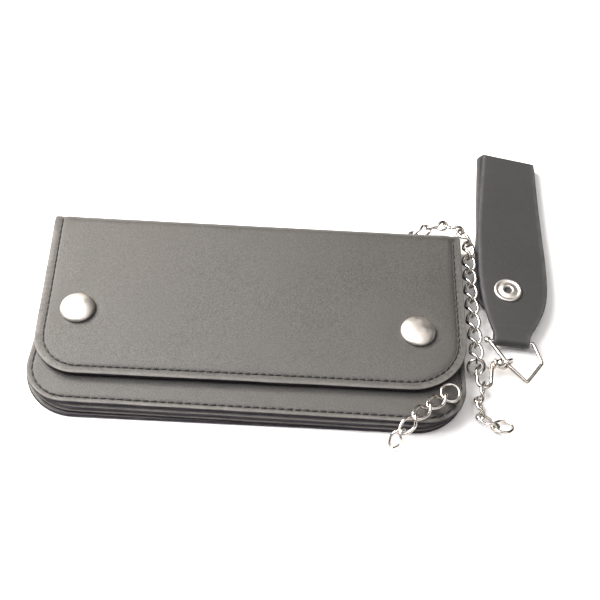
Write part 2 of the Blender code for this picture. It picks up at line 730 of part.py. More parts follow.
def back_half_width(v):
    """The back leaf: the strap's own width, with its free end rounded off."""
    drop = max(0.0, 1 - (v - STRAP_BACK_END) / STRAP_END_ROUND)
    return strap_half_width(v) - STRAP_END_ROUND * (1 - math.sqrt(1 - drop * drop))


def strap_ribbon(name, path, half_width):
    """An open strip along (v, w) points, half_width(v) wide each side, thickened evenly."""
    mesh = bpy.data.meshes.new(name)
    work = bmesh.new()
    rows = []
    for v, w in path:
        half = half_width(v)
        rows.append([work.verts.new((u, v, w)) for u in (-half, half)])
    for first, second in zip(rows, rows[1:]):
        work.faces.new((first[0], first[1], second[1], second[0]))
    work.to_mesh(mesh)
    work.free()
    strip = add_object(name, mesh, STRAP_LEATHER)
    solid = strip.modifiers.new("leather", "SOLIDIFY")
    solid.thickness = STRAP_THICKNESS
    solid.offset = 0
    solid.use_even_offset = True
    strip.matrix_world = strap_matrix()
    return strip


def strap_hole(leaf, low, high, radius):
    """A round hole through a leaf for the snap, between two heights."""
    profile = [(0, high), (radius, high), (radius, low), (0, low)]
    hole = turned(leaf.name + "_hole", profile, NICKEL, steps=16)
    hole.matrix_world = strap_matrix() @ Matrix.Translation((*STRAP_SNAP, 0))
    boolean(leaf, hole, "DIFFERENCE")


def fold_arc(start, end):
    """The strap's middle round the top fold, between two angles in degrees."""
    return arc((FOLD_V, FOLD_RADIUS), FOLD_RADIUS - STRAP_THICKNESS / 2, start, end, 6)


def strap_front():
    """Front leaf to the crest of the top fold, and the neck wrapped round the loop's bar, as one piece."""
    middle_w = FRONT_LEAF_W + STRAP_THICKNESS / 2
    bar = (STRAP_BAR_V, STRAP_BAR_W)
    tongue_w = middle_w - STRAP_THICKNESS - GAP
    path = [(16.0 * MM, tongue_w), (12.0 * MM, tongue_w), (9.0 * MM, tongue_w - 0.15 * MM)]
    path += arc(bar, middle_w - STRAP_BAR_W, -70, -270, 12)
    body_steps = 22
    for i in range(1, body_steps):
        path.append((STRAP_BAR_V + (FOLD_V - STRAP_BAR_V) * i / body_steps, middle_w))
    path += fold_arc(90, FOLD_SPLIT)
    leaf = strap_ribbon("strap_front_leaf", path, strap_half_width)
    strap_hole(leaf, FRONT_LEAF_W - 1 * MM, 2 * STRAP_TOP_W, POST_HOLE_RADIUS)
    set_origin(leaf, strap_point(0, STRAP_BAR_V, STRAP_BAR_W))


def strap_back():
    """Back leaf, from the crest of the fold to its rounded free end."""
    path = fold_arc(-FOLD_SPLIT, -90)
    steps = 24
    for i in range(1, steps + 1):
        share = 1 - (1 - i / steps) ** 2
        path.append((FOLD_V + (STRAP_BACK_END - FOLD_V) * share, STRAP_THICKNESS / 2))
    leaf = strap_ribbon("strap_back_leaf", path, back_half_width)
    strap_hole(leaf, -STRAP_THICKNESS, 2 * STRAP_THICKNESS, SNAP_HOLE_RADIUS)
    set_origin(leaf, fold_crest())


def strap_snap():
    """Cap under the back leaf, socket and stud between the leaves, hollow post on the front."""
    dome = dome_profile(7.5 * MM, 1.9 * MM, SNAP_SHAFT_RADIUS, -1.5 * MM, GAP)
    cap = [(radius, -z) for radius, z in reversed(dome)]
    socket_low = STRAP_THICKNESS + GAP
    socket = [(2.4 * MM, socket_low + 1.0 * MM), (3.6 * MM, socket_low + 1.0 * MM),
              (3.9 * MM, socket_low + 0.4 * MM), (SOCKET_RADIUS, socket_low + 0.4 * MM),
              (SOCKET_RADIUS, socket_low), (2.4 * MM, socket_low)]
    flange_top = FRONT_LEAF_W - GAP
    stud = [(0, flange_top), (STUD_RADIUS, flange_top), (STUD_RADIUS, flange_top - 0.3 * MM),
            (1.7 * MM, flange_top - 0.3 * MM), (1.9 * MM, flange_top - 1.1 * MM),
            (1.7 * MM, flange_top - 1.4 * MM), (0, flange_top - 1.4 * MM)]
    base = STRAP_TOP_W + GAP
    post = [(1.75 * MM, base + 0.9 * MM), (2.4 * MM, base + 1.3 * MM), (3.4 * MM, base + 1.2 * MM),
            (4.4 * MM, base + 0.6 * MM), (5.2 * MM, base + 0.45 * MM), (5.9 * MM, base + 0.7 * MM),
            (6.4 * MM, base + 0.4 * MM), (6.4 * MM, base), (2.3 * MM, base), (2.3 * MM, FRONT_LEAF_W),
            (1.75 * MM, FRONT_LEAF_W)]
    fold = fold_crest()
    bar = strap_point(0, STRAP_BAR_V, STRAP_BAR_W)
    shapes = (("cap", cap, False, fold), ("socket", socket, True, fold),
              ("stud", stud, False, bar), ("post", post, True, bar))
    for name, profile, closed, pivot in shapes:
        obj = turned("strap_snap_" + name, profile, NICKEL, closed)
        obj.matrix_world = strap_matrix() @ Matrix.Translation((*STRAP_SNAP, 0))
        pivoted(obj, pivot)


def main():
    cover_back()
    cover_flap()
    body_panels()
    card_pockets()
    zip_tapes()
    zip_stops()
    zip_pull(zip_slider())
    wallet_snaps()
    hook(chain())
    chain_front()
    chain_loose_end()
    swivel()
    wire_loop()
    strap_front()
    strap_back()
    strap_snap()


main()
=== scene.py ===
"""Looks of a long black leather chain wallet with its curb chain, swivel hook and belt strap.

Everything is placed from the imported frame, in metres, +Z up, with the wallet lying on its back.
"""
import json
import math

import bmesh
import bpy
import numpy as np
from mathutils import Matrix, Vector, geometry, kdtree


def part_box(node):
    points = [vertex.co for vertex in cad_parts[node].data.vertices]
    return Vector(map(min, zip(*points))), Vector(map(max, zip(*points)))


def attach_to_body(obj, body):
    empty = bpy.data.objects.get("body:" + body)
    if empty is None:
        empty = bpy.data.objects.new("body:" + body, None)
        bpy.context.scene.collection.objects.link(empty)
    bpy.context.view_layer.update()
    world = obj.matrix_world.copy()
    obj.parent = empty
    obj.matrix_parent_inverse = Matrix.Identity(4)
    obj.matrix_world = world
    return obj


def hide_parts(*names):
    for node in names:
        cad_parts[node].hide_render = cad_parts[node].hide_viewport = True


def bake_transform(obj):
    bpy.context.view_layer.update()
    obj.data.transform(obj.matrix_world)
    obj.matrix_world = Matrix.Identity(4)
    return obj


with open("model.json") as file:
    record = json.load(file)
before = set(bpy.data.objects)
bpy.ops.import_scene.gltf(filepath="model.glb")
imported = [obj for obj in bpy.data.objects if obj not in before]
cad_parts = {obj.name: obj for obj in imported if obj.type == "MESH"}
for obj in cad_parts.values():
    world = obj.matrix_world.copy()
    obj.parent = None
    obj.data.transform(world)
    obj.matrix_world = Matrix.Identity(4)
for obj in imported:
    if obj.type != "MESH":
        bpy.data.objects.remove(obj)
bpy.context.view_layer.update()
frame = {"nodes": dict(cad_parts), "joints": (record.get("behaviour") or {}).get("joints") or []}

MM = 0.001

# Leather.
COVER = 1.8 * MM                  # thickness of the cover
EDGE = 0.45 * MM                  # rounding of a cut edge
STITCH_PITCH = 3.3 * MM
THREAD = 0.44 * MM                # radius
SEAM_INSET = 3.8 * MM             # from the edge of the flap
BODY_SEAM_INSET = 2.4 * MM
CHANNEL_DEPTH = 0.32 * MM         # the seam pulls the leather down
CHANNEL_WIDTH = 0.75 * MM
FLAP_SAG = 0.7 * MM               # the flap's free border hangs towards the panels below
FLAP_CORNERS = (20 * MM, 26 * MM)
BODY_CORNER = 18 * MM
LOWER_CORNER = 23 * MM            # the layers under the front panel are cut rounder
MOUTH_CORNER = 1.2 * MM
OUTLINE_STEP = 1.1 * MM
SPREAD = np.array(((-2.0, 0.0), (0.1, 0.0), (0.2, 0.0), (0.0, 0.0))) * MM   # the panels' corners have moved
DRAWN_BACK = {"cover_flap": 1.2 * MM, "flap_lining": 1.2 * MM, "front_panel": 1.4 * MM}   # at the front
ARC_STEPS = 14

# Wire.
LINK_WIRE = 0.71 * MM
LINK_GAP = math.radians(3)        # where the ends of a link's wire meet
RING_GAP = math.radians(2)
CAD_LINK_WIRE = 0.7 * MM
WIRE_SIDES = 14
TURN_STEPS = 72

# View.
CAMERA_LENS = 66.0
CAMERA_SENSOR = 36.0
CAMERA_YAW = math.radians(-1.678)
CAMERA_RISE = math.radians(54.811)
CAMERA_ROLL = math.radians(4.298)
CAMERA_TARGET = Vector((19.18, 16.24, 0)) * MM
CAMERA_DISTANCE = 513.4 * MM


# ---------------------------------------------------------------- reading the frame

def points_of(node):
    return np.array([v.co[:] for v in frame["nodes"][node].data.vertices])


def joint(name):
    return next(j for j in frame["joints"] if j["name"] == name)


def crossing(a, b, c, d):
    """Where the line through a and b meets the line through c and d."""
    return a + (b - a) * np.linalg.solve(np.array([b - a, c - d]).T, c - a)[0]


def panel_corners(node):
    """Front left, front right, back right and back left corners of a four-sided panel."""
    points = points_of(node)[:, :2]
    middle = (points[:, 0].min() + points[:, 0].max()) / 2
    back_y = points[:, 1].max()
    mouth = points[points[:, 1] > back_y - MOUTH_CORNER]
    back_left = np.array([mouth[:, 0].min(), back_y])
    back_right = np.array([mouth[:, 0].max(), back_y])
    left, right = points[points[:, 0] < middle], points[points[:, 0] > middle]
    front = left[left[:, 1].argmin()], right[right[:, 1].argmin()]
    corners = np.array([crossing(left[left[:, 0].argmin()], back_left, *front),
                        crossing(right[right[:, 0].argmax()], back_right, *front), back_right, back_left])
    corners[:2, 1] += DRAWN_BACK.get(node, 0.0)
    return list(corners + SPREAD)


def heights(node):
    low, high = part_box(node)
    return low.z, high.z


def middle_of(node):
    low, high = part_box(node)
    return (low.x + high.x) / 2, (low.y + high.y) / 2


def box_corners(node):
    low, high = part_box(node)
    return [(low.x, low.y), (high.x, low.y), (high.x, high.y), (low.x, high.y)]


def main_axes(points):
    """The directions in which points spread most, second most and least."""
    return np.linalg.eigh(np.cov(points.T))[1].T[::-1]


def centre_line(node, radius):
    """The middle of a round wire, from its CAD node."""
    work = bmesh.new()
    work.from_mesh(frame["nodes"][node].data)
    bmesh.ops.remove_doubles(work, verts=work.verts, dist=0.004 * MM)
    work.normal_update()
    groups = []
    home = {}
    for vert in work.verts:
        middle = vert.co - vert.normal * radius
        near = [i for i, (place, _) in enumerate(groups) if (place - middle).length < 0.33 * MM]
        if near:
            groups[near[0]][1].append(vert.co.copy())
        else:
            groups.append((middle, [vert.co.copy()]))
        home[vert.index] = near[0] if near else len(groups) - 1
    links = {i: set() for i in range(len(groups))}
    for edge in work.edges:
        a, b = (home[v.index] for v in edge.verts)
        if a != b:
            links[a].add(b)
            links[b].add(a)
    work.free()
    ends = [i for i, others in links.items() if len(others) == 1]
    walk = [ends[0] if ends else 0]
    while True:
        onward = [i for i in sorted(links[walk[-1]]) if i not in walk]
        if not onward:
            break
        walk.append(onward[0])
    places = [sum(groups[i][1], Vector()) / len(groups[i][1]) for i in walk]
    return np.array(places)


# ---------------------------------------------------------------- small maths

def unit(vectors):
    return vectors / np.maximum(np.linalg.norm(vectors, axis=-1, keepdims=True), 1e-12)


def ease(low, high, value):
    """0 below low, 1 above high, smooth between."""
    t = np.clip((value - low) / (high - low), 0, 1)
    return t * t * (3 - 2 * t)


def ripple(x, y, size, seed):
    """Smooth unevenness between -1 and 1 whose humps are about size apart."""
    total = 0
    for k in range(5):
        angle = seed * 1.7 + k * 2.4
        along = x * math.cos(angle) + y * math.sin(angle)
        total = total + np.sin(along * (0.7 + 0.17 * k) * math.tau / size + seed * 3.1 + k * 1.9)
    return total / 5


def bell(value, middle, width):
    """A bump of height 1 round middle."""
    return np.exp(-((value - middle) / width) ** 2)


def level(height):
    """The surface function of a flat panel."""
    return lambda x, y: np.full(len(x), height)


def arc(centre, radius, start, end, steps):
    """Flat points along an arc, with its angles in degrees."""
    angles = np.radians(np.linspace(start, end, steps + 1))
    return [(centre[0] + radius * math.cos(a), centre[1] + radius * math.sin(a)) for a in angles]


def ring_path(centre, first, second, radius, gap=0.0, count=72):
    """Points round a circle in the plane of two directions, with a gap at its start."""
    angles = np.linspace(gap, math.tau - gap, count + 1)
    return [centre + (first * math.cos(a) + second * math.sin(a)) * radius for a in angles]


def in_mm(*rows):
    return [tuple(value * MM for value in row) for row in rows]


def tree_of(points):
    """A search tree over flat points."""
    tree = kdtree.KDTree(len(points))
    for i, (x, y) in enumerate(points):
        tree.insert((x, y, 0), i)
    tree.balance()
    return tree


def clear_of(points, tree, distance):
    """The points that lie further than distance from everything in the tree."""
    return np.array([p for p in points if tree.find((p[0], p[1], 0))[2] > distance]).reshape(-1, 2)


def smooth_curve(points, closed, per_span):
    """A Catmull-Rom curve through the points."""
    points = np.asarray(points, float)
    count = len(points)
    spans = count if closed else count - 1
    if not closed:
        points = np.vstack([2 * points[0] - points[1], points, 2 * points[-1] - points[-2]])
    result = []
    for i in range(spans):
        if closed:
            a, b, c, d = (points[(i + k) % count] for k in (-1, 0, 1, 2))
        else:
            a, b, c, d = points[i:i + 4]
        for step in range(per_span):
            t = step / per_span
            result.append(0.5 * (2 * b + (c - a) * t + (2 * a - 5 * b + 4 * c - d) * t ** 2
                                 + (3 * b - a - 3 * c + d) * t ** 3))
    if not closed:
        result.append(points[-2])
    return np.array(result)


def evenly(path, pitch, closed=False):
    """The path resampled at even steps of about pitch."""
    path = np.vstack([path, path[:1]]) if closed else path
    travelled = np.concatenate([[0], np.cumsum(np.linalg.norm(np.diff(path, axis=0), axis=1))])
    count = max(2, round(travelled[-1] / pitch))
    marks = np.linspace(0, travelled[-1], count + 1)
    even = np.column_stack([np.interp(marks, travelled, path[:, k]) for k in range(path.shape[1])])
    return even[:-1] if closed else even


# ---------------------------------------------------------------- materials

class Finish:
    """A node material under construction."""

    def __init__(self, name, slot):
        self.material = bpy.data.materials.new(name)
        self.material.use_nodes = True
        self.tree = self.material.node_tree
        self.surface = self.tree.nodes["Principled BSDF"]
        self.slot = slot
        self.where = self.node("TexCoord").outputs["Object"]

    def node(self, kind, inputs=None, **settings):
        made = self.tree.nodes.new("ShaderNode" + kind)
        for key, value in settings.items():
            setattr(made, key, value)
        for key, value in (inputs or {}).items():
            self.feed(made.inputs[key], value)
        return made

    def feed(self, socket, value):
        if isinstance(value, bpy.types.NodeSocket):
            self.tree.links.new(value, socket)
        else:
            socket.default_value = value

    def set(self, **inputs):
        for key, value in inputs.items():
            self.feed(self.surface.inputs[key.replace("_", " ")], value)

    def noise(self, scale, detail=3.0, roughness=0.5, where=None):
        made = self.node("TexNoise", {"Vector": where or self.where, "Scale": scale,
                                      "Detail": detail, "Roughness": roughness})
        return made.outputs["Fac"]

    def ramp(self, value, low, high, out_low=0.0, out_high=1.0):
        made = self.node("MapRange", {"Value": value, "From Min": low, "From Max": high,
                                      "To Min": out_low, "To Max": out_high})
        return made.outputs["Result"]

    def mix(self, share, first, second):
        made = self.node("Mix", data_type="RGBA")
        self.feed(made.inputs[0], share)
        self.feed(made.inputs[6], first)
        self.feed(made.inputs[7], second)
        return made.outputs[2]

    def add(self, first, second):
        return self.node("Math", {0: first, 1: second}, operation="ADD").outputs[0]

    def times(self, first, second):
        return self.node("Math", {0: first, 1: second}, operation="MULTIPLY").outputs[0]

    def squeezed(self, scale, turn=(0.0, 0.0, 0.0)):
        """Coordinates that draw a pattern out into streaks."""
        return self.node("Mapping", {"Vector": self.where, "Rotation": turn, "Scale": scale}).outputs[0]

    def attribute(self, name):
        return self.node("Attribute", attribute_name=name).outputs["Fac"]

    def bump(self, height, distance):
        made = self.node("Bump", {"Height": height, "Distance": distance, "Strength": 1.0})
        self.set(Normal=made.outputs["Normal"])


def grey(level, warmth=0.0):
    return (level * (1 + warmth), level, level * (1 - warmth), 1.0)


def leather(name, slot, tone, worn_and_rim_lit_tone, roughness, cell, depth, warmth):
    """Grained leather: fine cells with a softer pebble over them. The grain's raised tops are painted lighter
    as a painted highlight speckle, and it is lighter along its rubbed edges: partly wear, partly a painted
    highlight on the rounded rims.
    """
    finish = Finish(name, slot)
    warp = finish.noise(0.45 / cell, 2.0)
    offset = finish.node("VectorMath", {0: finish.where, 1: warp}, operation="ADD")
    cells = finish.node("TexVoronoi", {"Vector": offset.outputs[0], "Scale": 1 / cell}, feature="SMOOTH_F1")
    cells.inputs["Smoothness"].default_value = 0.35
    pebble = finish.ramp(cells.outputs["Distance"], 0.0, 0.8, 1.0, 0.0)
    fine = finish.noise(1.9 / cell, 4.0, 0.7)
    broad = finish.noise(0.09 / cell, 3.0, 0.6)
    patches = finish.noise(16.0, 3.0, 0.55)
    grain = finish.add(finish.times(pebble, 0.55), finish.times(fine, 0.6))
    finish.bump(finish.add(grain, finish.times(broad, 0.7)), depth)
    # Painted highlight: the grain's raised tops get a lighter base colour, standing in for the sheen that
    # catches on them.
    tops = finish.ramp(fine, 0.40, 0.62)
    base = finish.mix(tops, grey(tone * 0.35, warmth), grey(tone * 2.1, warmth))
    base = finish.mix(finish.ramp(patches, 0.42, 0.68, 0.0, 0.35), base, grey(tone * 1.9, warmth * 1.4))
    # Painted lighter along the edges: partly wear, partly a painted highlight on the rounded rims; the broad
    # noise makes it patchy.
    rubbed_and_rim_lit = finish.times(finish.attribute("wear_and_rim_highlight"), finish.ramp(broad, 0.35, 0.65, 0.45, 1.0))
    rough = finish.add(finish.ramp(patches, 0.3, 0.7, roughness - 0.05, roughness + 0.05),
                       finish.ramp(fine, 0.3, 0.7, 0.05, -0.05))
    finish.set(Base_Color=finish.mix(rubbed_and_rim_lit, base, grey(worn_and_rim_lit_tone, warmth)), Roughness=rough,
               Specular_IOR_Level=0.5)
    return finish


def cut_edge():
    """The side of a leather panel: dyed, fibrous, in thin lengthwise streaks."""
    finish = Finish("cut_edge", "black_leather")
    squeeze = finish.squeezed((1.0, 1.0, 7.0))
    fibres = finish.noise(900.0, 5.0, 0.7, squeeze)
    broad = finish.noise(120.0, 2.0, 0.5, squeeze)
    finish.bump(fibres, 0.25 * MM)
    dark, light = (0.010, 0.008, 0.012, 1.0), (0.045, 0.038, 0.050, 1.0)
    share = finish.ramp(finish.times(fibres, broad), 0.18, 0.40)
    finish.set(Base_Color=finish.mix(share, dark, light), Roughness=0.78, Specular_IOR_Level=0.3)
    return finish


def metal(name, tone, warmth, roughness, scratch):
    """Plated metal: cloudy tarnish, hairline scratches and a slight orange peel."""
    finish = Finish(name, "nickel")
    clouds = finish.noise(260.0, 4.0, 0.6)
    spots = finish.noise(1500.0, 3.0, 0.6)
    squeeze = finish.squeezed((1.0, 14.0, 1.0), (0.3, 0.5, 0.9))
    hairs = finish.ramp(finish.noise(700.0, 2.0, 0.5, squeeze), 0.55, 0.75)
    tarnish = finish.ramp(clouds, 0.40, 0.72, 0.0, 0.6)
    base = finish.mix(tarnish, grey(tone, warmth), grey(tone * 0.72, warmth * 2))
    base = finish.mix(finish.ramp(spots, 0.62, 0.78, 0.0, 0.5), base, grey(tone * 0.45, warmth * 3))
    rough = finish.ramp(clouds, 0.3, 0.7, roughness * 0.8, roughness * 1.35)
    finish.set(Base_Color=base, Metallic=1.0, Roughness=finish.add(rough, finish.times(hairs, 0.12)))
    finish.bump(finish.add(finish.times(hairs, -0.4), spots), scratch)
    return finish


def thread():
    """Waxed black thread, its two plies showing as fine slanting ridges."""
    finish = Finish("thread", "black_leather")
    plies = finish.node("TexWave", {"Vector": finish.where, "Scale": 420.0, "Distortion": 0.6},
                        bands_direction="DIAGONAL").outputs["Fac"]
    fluff = finish.noise(4000.0, 3.0, 0.7)
    finish.bump(finish.add(plies, fluff), 0.06 * MM)
    finish.set(Base_Color=finish.mix(fluff, grey(0.004), grey(0.022, 0.05)), Roughness=0.62)
    return finish


def cloth():
    """Woven tape: warp and weft ridges crossing at right angles."""
    finish = Finish("zip_tape", "zip_cloth")
    ridges = []
    for direction in ("X", "Y"):
        wave = finish.node("TexWave", {"Vector": finish.where, "Scale": 330.0, "Distortion": 0.4},
                           bands_direction=direction)
        ridges.append(wave.outputs["Fac"])
    weave = finish.times(*ridges)
    finish.bump(weave, 0.12 * MM)
    finish.set(Base_Color=finish.mix(weave, grey(0.006), grey(0.035)), Roughness=0.9)
    return finish


# The second tone is the edge colour: partly wear, partly a painted highlight on the rounded rims.
LEATHER = leather("black_leather", "black_leather", 0.022, 0.15, 0.40, 1.00 * MM, 0.08 * MM, 0.07)
STRAP = leather("strap_leather", "strap_leather", 0.012, 0.06, 0.68, 0.45 * MM, 0.03 * MM, -0.02)
LINING = leather("lining_leather", "lining_leather", 0.020, 0.05, 0.72, 0.30 * MM, 0.09 * MM, 0.03)
CUT = cut_edge()
NICKEL = metal("nickel", 0.50, 0.055, 0.21, 0.010 * MM)
CAP_NICKEL = metal("cap_nickel", 0.58, 0.05, 0.42, 0.020 * MM)
# Painted shade: a near-black metal for the disc low in the snap post's bore, standing in for the darkness of
# the deep hollow.
PAINTED_SHADE_METAL = metal("painted_shade_metal", 0.004, 0.15, 0.75, 0.02 * MM)
THREAD_FINISH = thread()
TAPE = cloth()


# ---------------------------------------------------------------- meshes

def mesh_piece(name, verts, faces, finishes, slots=None, sharp=35):
    """A smooth-shaded piece; slots gives each face's place in finishes."""
    mesh = bpy.data.meshes.new(name)
    mesh.from_pydata([tuple(v) for v in verts], [], faces)
    for finish in finishes:
        mesh.materials.append(finish.material)
    if slots is not None:
        mesh.polygons.foreach_set("material_index", slots)
    mesh.update()
    mesh.shade_smooth()
    mesh.set_sharp_from_angle(angle=math.radians(sharp))
    obj = bpy.data.objects.new(name, mesh)
    bpy.context.scene.collection.objects.link(obj)
    return obj


def set_wear_and_rim_highlight(obj, values):
    """How much lighter each point is painted for the leather's material: partly wear, partly a painted
    highlight where the rounded rims catch the light.
    """
    found = obj.data.attributes.new("wear_and_rim_highlight", "FLOAT", "POINT")
    found.data.foreach_set("value", np.asarray(values, np.float32))


def attach(obj, body, *nodes):
    """Puts a piece on a body, in the place of its CAD nodes."""
    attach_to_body(obj, body)
    if nodes:
        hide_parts(*nodes)
    return obj


def rounded_outline(corners, radii, inset=0.0):
    """The four corner arcs of a panel and the runs after them, anticlockwise from the front left corner."""
    signs = np.array([(1, 1), (-1, 1), (-1, -1), (1, -1)])
    pulled = [Vector(c) for c in np.asarray(corners) + signs * inset]
    arcs = []
    for i, corner in enumerate(pulled):
        radius = max(radii[i] - inset, 0.0)
        before = (pulled[i - 1] - corner).normalized()
        after = (pulled[(i + 1) % 4] - corner).normalized()
        half = before.angle(after) / 2
        if radius < 0.05 * MM:
            arcs.append([corner])
            continue
        centre = corner + (before + after).normalized() * radius / math.sin(half)
        start = corner + before * radius / math.tan(half) - centre
        steps = ARC_STEPS if radii[i] > 5 * MM else 4
        sweep = math.pi - 2 * half
        turns = [Matrix.Rotation(sweep * k / steps, 2) for k in range(steps + 1)]
        arcs.append([centre + turn @ start for turn in turns])
    runs = []
    for i in range(4):
        first, last = arcs[i][-1], arcs[(i + 1) % 4][0]
        count = max(2, round((Vector(corners[i]) - Vector(corners[(i + 1) % 4])).length / OUTLINE_STEP))
        runs.append([first.lerp(last, k / count) for k in range(1, count)])
    return arcs, runs


def closed_outline(corners, radii, inset=0.0):
    arcs, runs = rounded_outline(corners, radii, inset)
    points = []
    for arc_points, run in zip(arcs, runs):
        points += arc_points + run
    return np.array([p[:] for p in points])


def seam_line(corners, radii, inset, top):
    """The sewn line: down the left side, along the front and up the right side, from height top."""
    arcs, runs = rounded_outline(corners, radii, inset)
    points = runs[3] + arcs[0] + runs[0] + arcs[1] + runs[1]
    points = np.array([p[:] for p in points])
    return points[points[:, 1] < top]


def edge_distance(corners, radii, x, y):
    """How far (x, y) lies inside the three sewn sides of a panel."""
    front_left, front_right, back_right, back_left = (np.asarray(c) for c in corners)
    left = x - np.interp(y, [front_left[1], back_left[1]], [front_left[0], back_left[0]])
    right = np.interp(y, [front_right[1], back_right[1]], [front_right[0], back_right[0]]) - x
    front = y - np.interp(x, [front_left[0], front_right[0]], [front_left[1], front_right[1]])
    result = np.minimum(np.minimum(left, right), front)
    for side, radius in ((left, radii[0]), (right, radii[1])):
        near = (side < radius) & (front < radius)
        rounded = radius - np.hypot(radius - side, radius - front)
        result = np.where(near, rounded, result)
    return result


def inside(points, outline):
    """Which points lie inside a closed outline."""
    x, y = points[:, 0], points[:, 1]
    result = np.zeros(len(points), bool)
    for (x0, y0), (x1, y1) in zip(outline, np.roll(outline, -1, 0)):
        if y0 == y1:
            continue
        crosses = (y0 > y) != (y1 > y)
        result ^= crosses & (x < (x1 - x0) * (y - y0) / (y1 - y0) + x0)
    return result


def scatter(boundary, spacing, rows):
    """A staggered grid of points inside a boundary, with the rows' points added."""
    low, high = boundary.min(0), boundary.max(0)
    row_step = spacing * math.sqrt(3) / 2
    grid = []
    for j in range(int((high[1] - low[1]) / row_step) + 1):
        xs = np.arange(low[0] + (spacing / 2 if j % 2 else 0), high[0], spacing)
        grid.append(np.column_stack([xs, np.full(len(xs), low[1] + j * row_step)]))
    grid = np.vstack(grid)
    grid = clear_of(grid[inside(grid, boundary)], tree_of(np.vstack([boundary, *rows])), 0.6 * spacing)
    rim = tree_of(boundary)
    return np.vstack([grid, *(clear_of(row[inside(row, boundary)], rim, 0.25 * MM) for row in rows)])


def fill(boundary, inner):
    """Triangles over a boundary and the points inside it: (points, triangles)."""
    points = np.vstack([boundary, inner])
    count = len(boundary)
    scaled = [Vector(p / MM) for p in points]
    loop = [(i, (i + 1) % count) for i in range(count)]
    verts, _, faces, origins, _, _ = geometry.delaunay_2d_cdt(scaled, loop, [], 1, 1e-4)
    home = {i: group[0] for i, group in enumerate(origins) if group}
    triangles = [tuple(home[i] for i in face) for face in faces if all(i in home for i in face)]
    return points, triangles


def side_levels(high, low, layers, edge):
    """Down the side of a panel: (how far drawn in, height) of each ring of points, each layer rounded."""
    steps = 3
    rings = []
    for layer in range(layers):
        top = high + (low - high) * layer / layers
        bottom = high + (low - high) * (layer + 1) / layers
        bend = np.minimum(edge, (top - bottom) * 0.48)
        turns = [math.pi / 2 * k / steps for k in range(steps + 1)]
        rings += [(edge * (1 - math.sin(a)), top - bend * (1 - math.cos(a))) for a in turns]
        rings += [(edge * (1 - math.sin(a)), bottom + bend * (1 - math.cos(a))) for a in reversed(turns)]
    return rings[1:-1]


def leather_sheet(name, outline, top, bottom, spacing, finish, place=None, rows=(), edge=EDGE,
                  layers=1, butted=None):
    """A panel of leather between the heights top(x, y) and bottom(x, y).

    outline runs anticlockwise. butted marks its points that meet the next panel and keep a square edge.
    layers is how many thicknesses show at the side. place maps flat (x, y, height) rows to the object."""
    ahead, behind = np.roll(outline, -1, 0) - outline, outline - np.roll(outline, 1, 0)
    along = unit(unit(ahead) + unit(behind))
    inward = np.column_stack([-along[:, 1], along[:, 0]])
    # The free edges, along which the leather is painted lighter: partly wear, partly a painted highlight on
    # the rounded rims.
    rubbed_and_rim_lit = outline
    if butted is not None:
        inward[butted] = 0
        rubbed_and_rim_lit = outline[~butted]
    boundary = outline + inward * edge
    flat, triangles = fill(boundary, scatter(boundary, spacing, rows))
    rim = len(boundary)
    x, y = flat.T
    upper, lower = top(x, y), bottom(x, y)
    verts = [np.column_stack([x, y, upper])]
    rings = [np.arange(rim)]
    total = len(flat)
    for drawn_in, height in side_levels(upper[:rim], lower[:rim], layers, edge):
        verts.append(np.column_stack([outline + inward * drawn_in, height]))
        rings.append(np.arange(rim) + total)
        total += rim
    verts.append(np.column_stack([x, y, lower]))
    rings.append(np.arange(rim) + total)
    faces = list(triangles)
    for a, b in zip(rings, rings[1:]):
        faces += zip(a, b, np.roll(b, -1), np.roll(a, -1))
    faces += [(a + total, c + total, b + total) for a, b, c in triangles]
    slots = [0] * (len(triangles) + 2 * rim) + [1] * ((len(rings) - 3) * rim) + [0] * len(triangles)
    verts = np.vstack(verts)
    tree = tree_of(rubbed_and_rim_lit)
    reach = np.array([tree.find((px, py, 0))[2] for px, py, _ in verts])
    if place is not None:
        verts = place(*verts.T)
    obj = mesh_piece(name, verts, faces, [finish, CUT], slots)
    # Painted lighter near the free edges: partly wear, partly a painted highlight on the rounded rims.
    set_wear_and_rim_highlight(obj, np.exp(-np.maximum(reach - 0.2 * MM, 0) / (0.5 * MM)) * 0.8)
    return obj


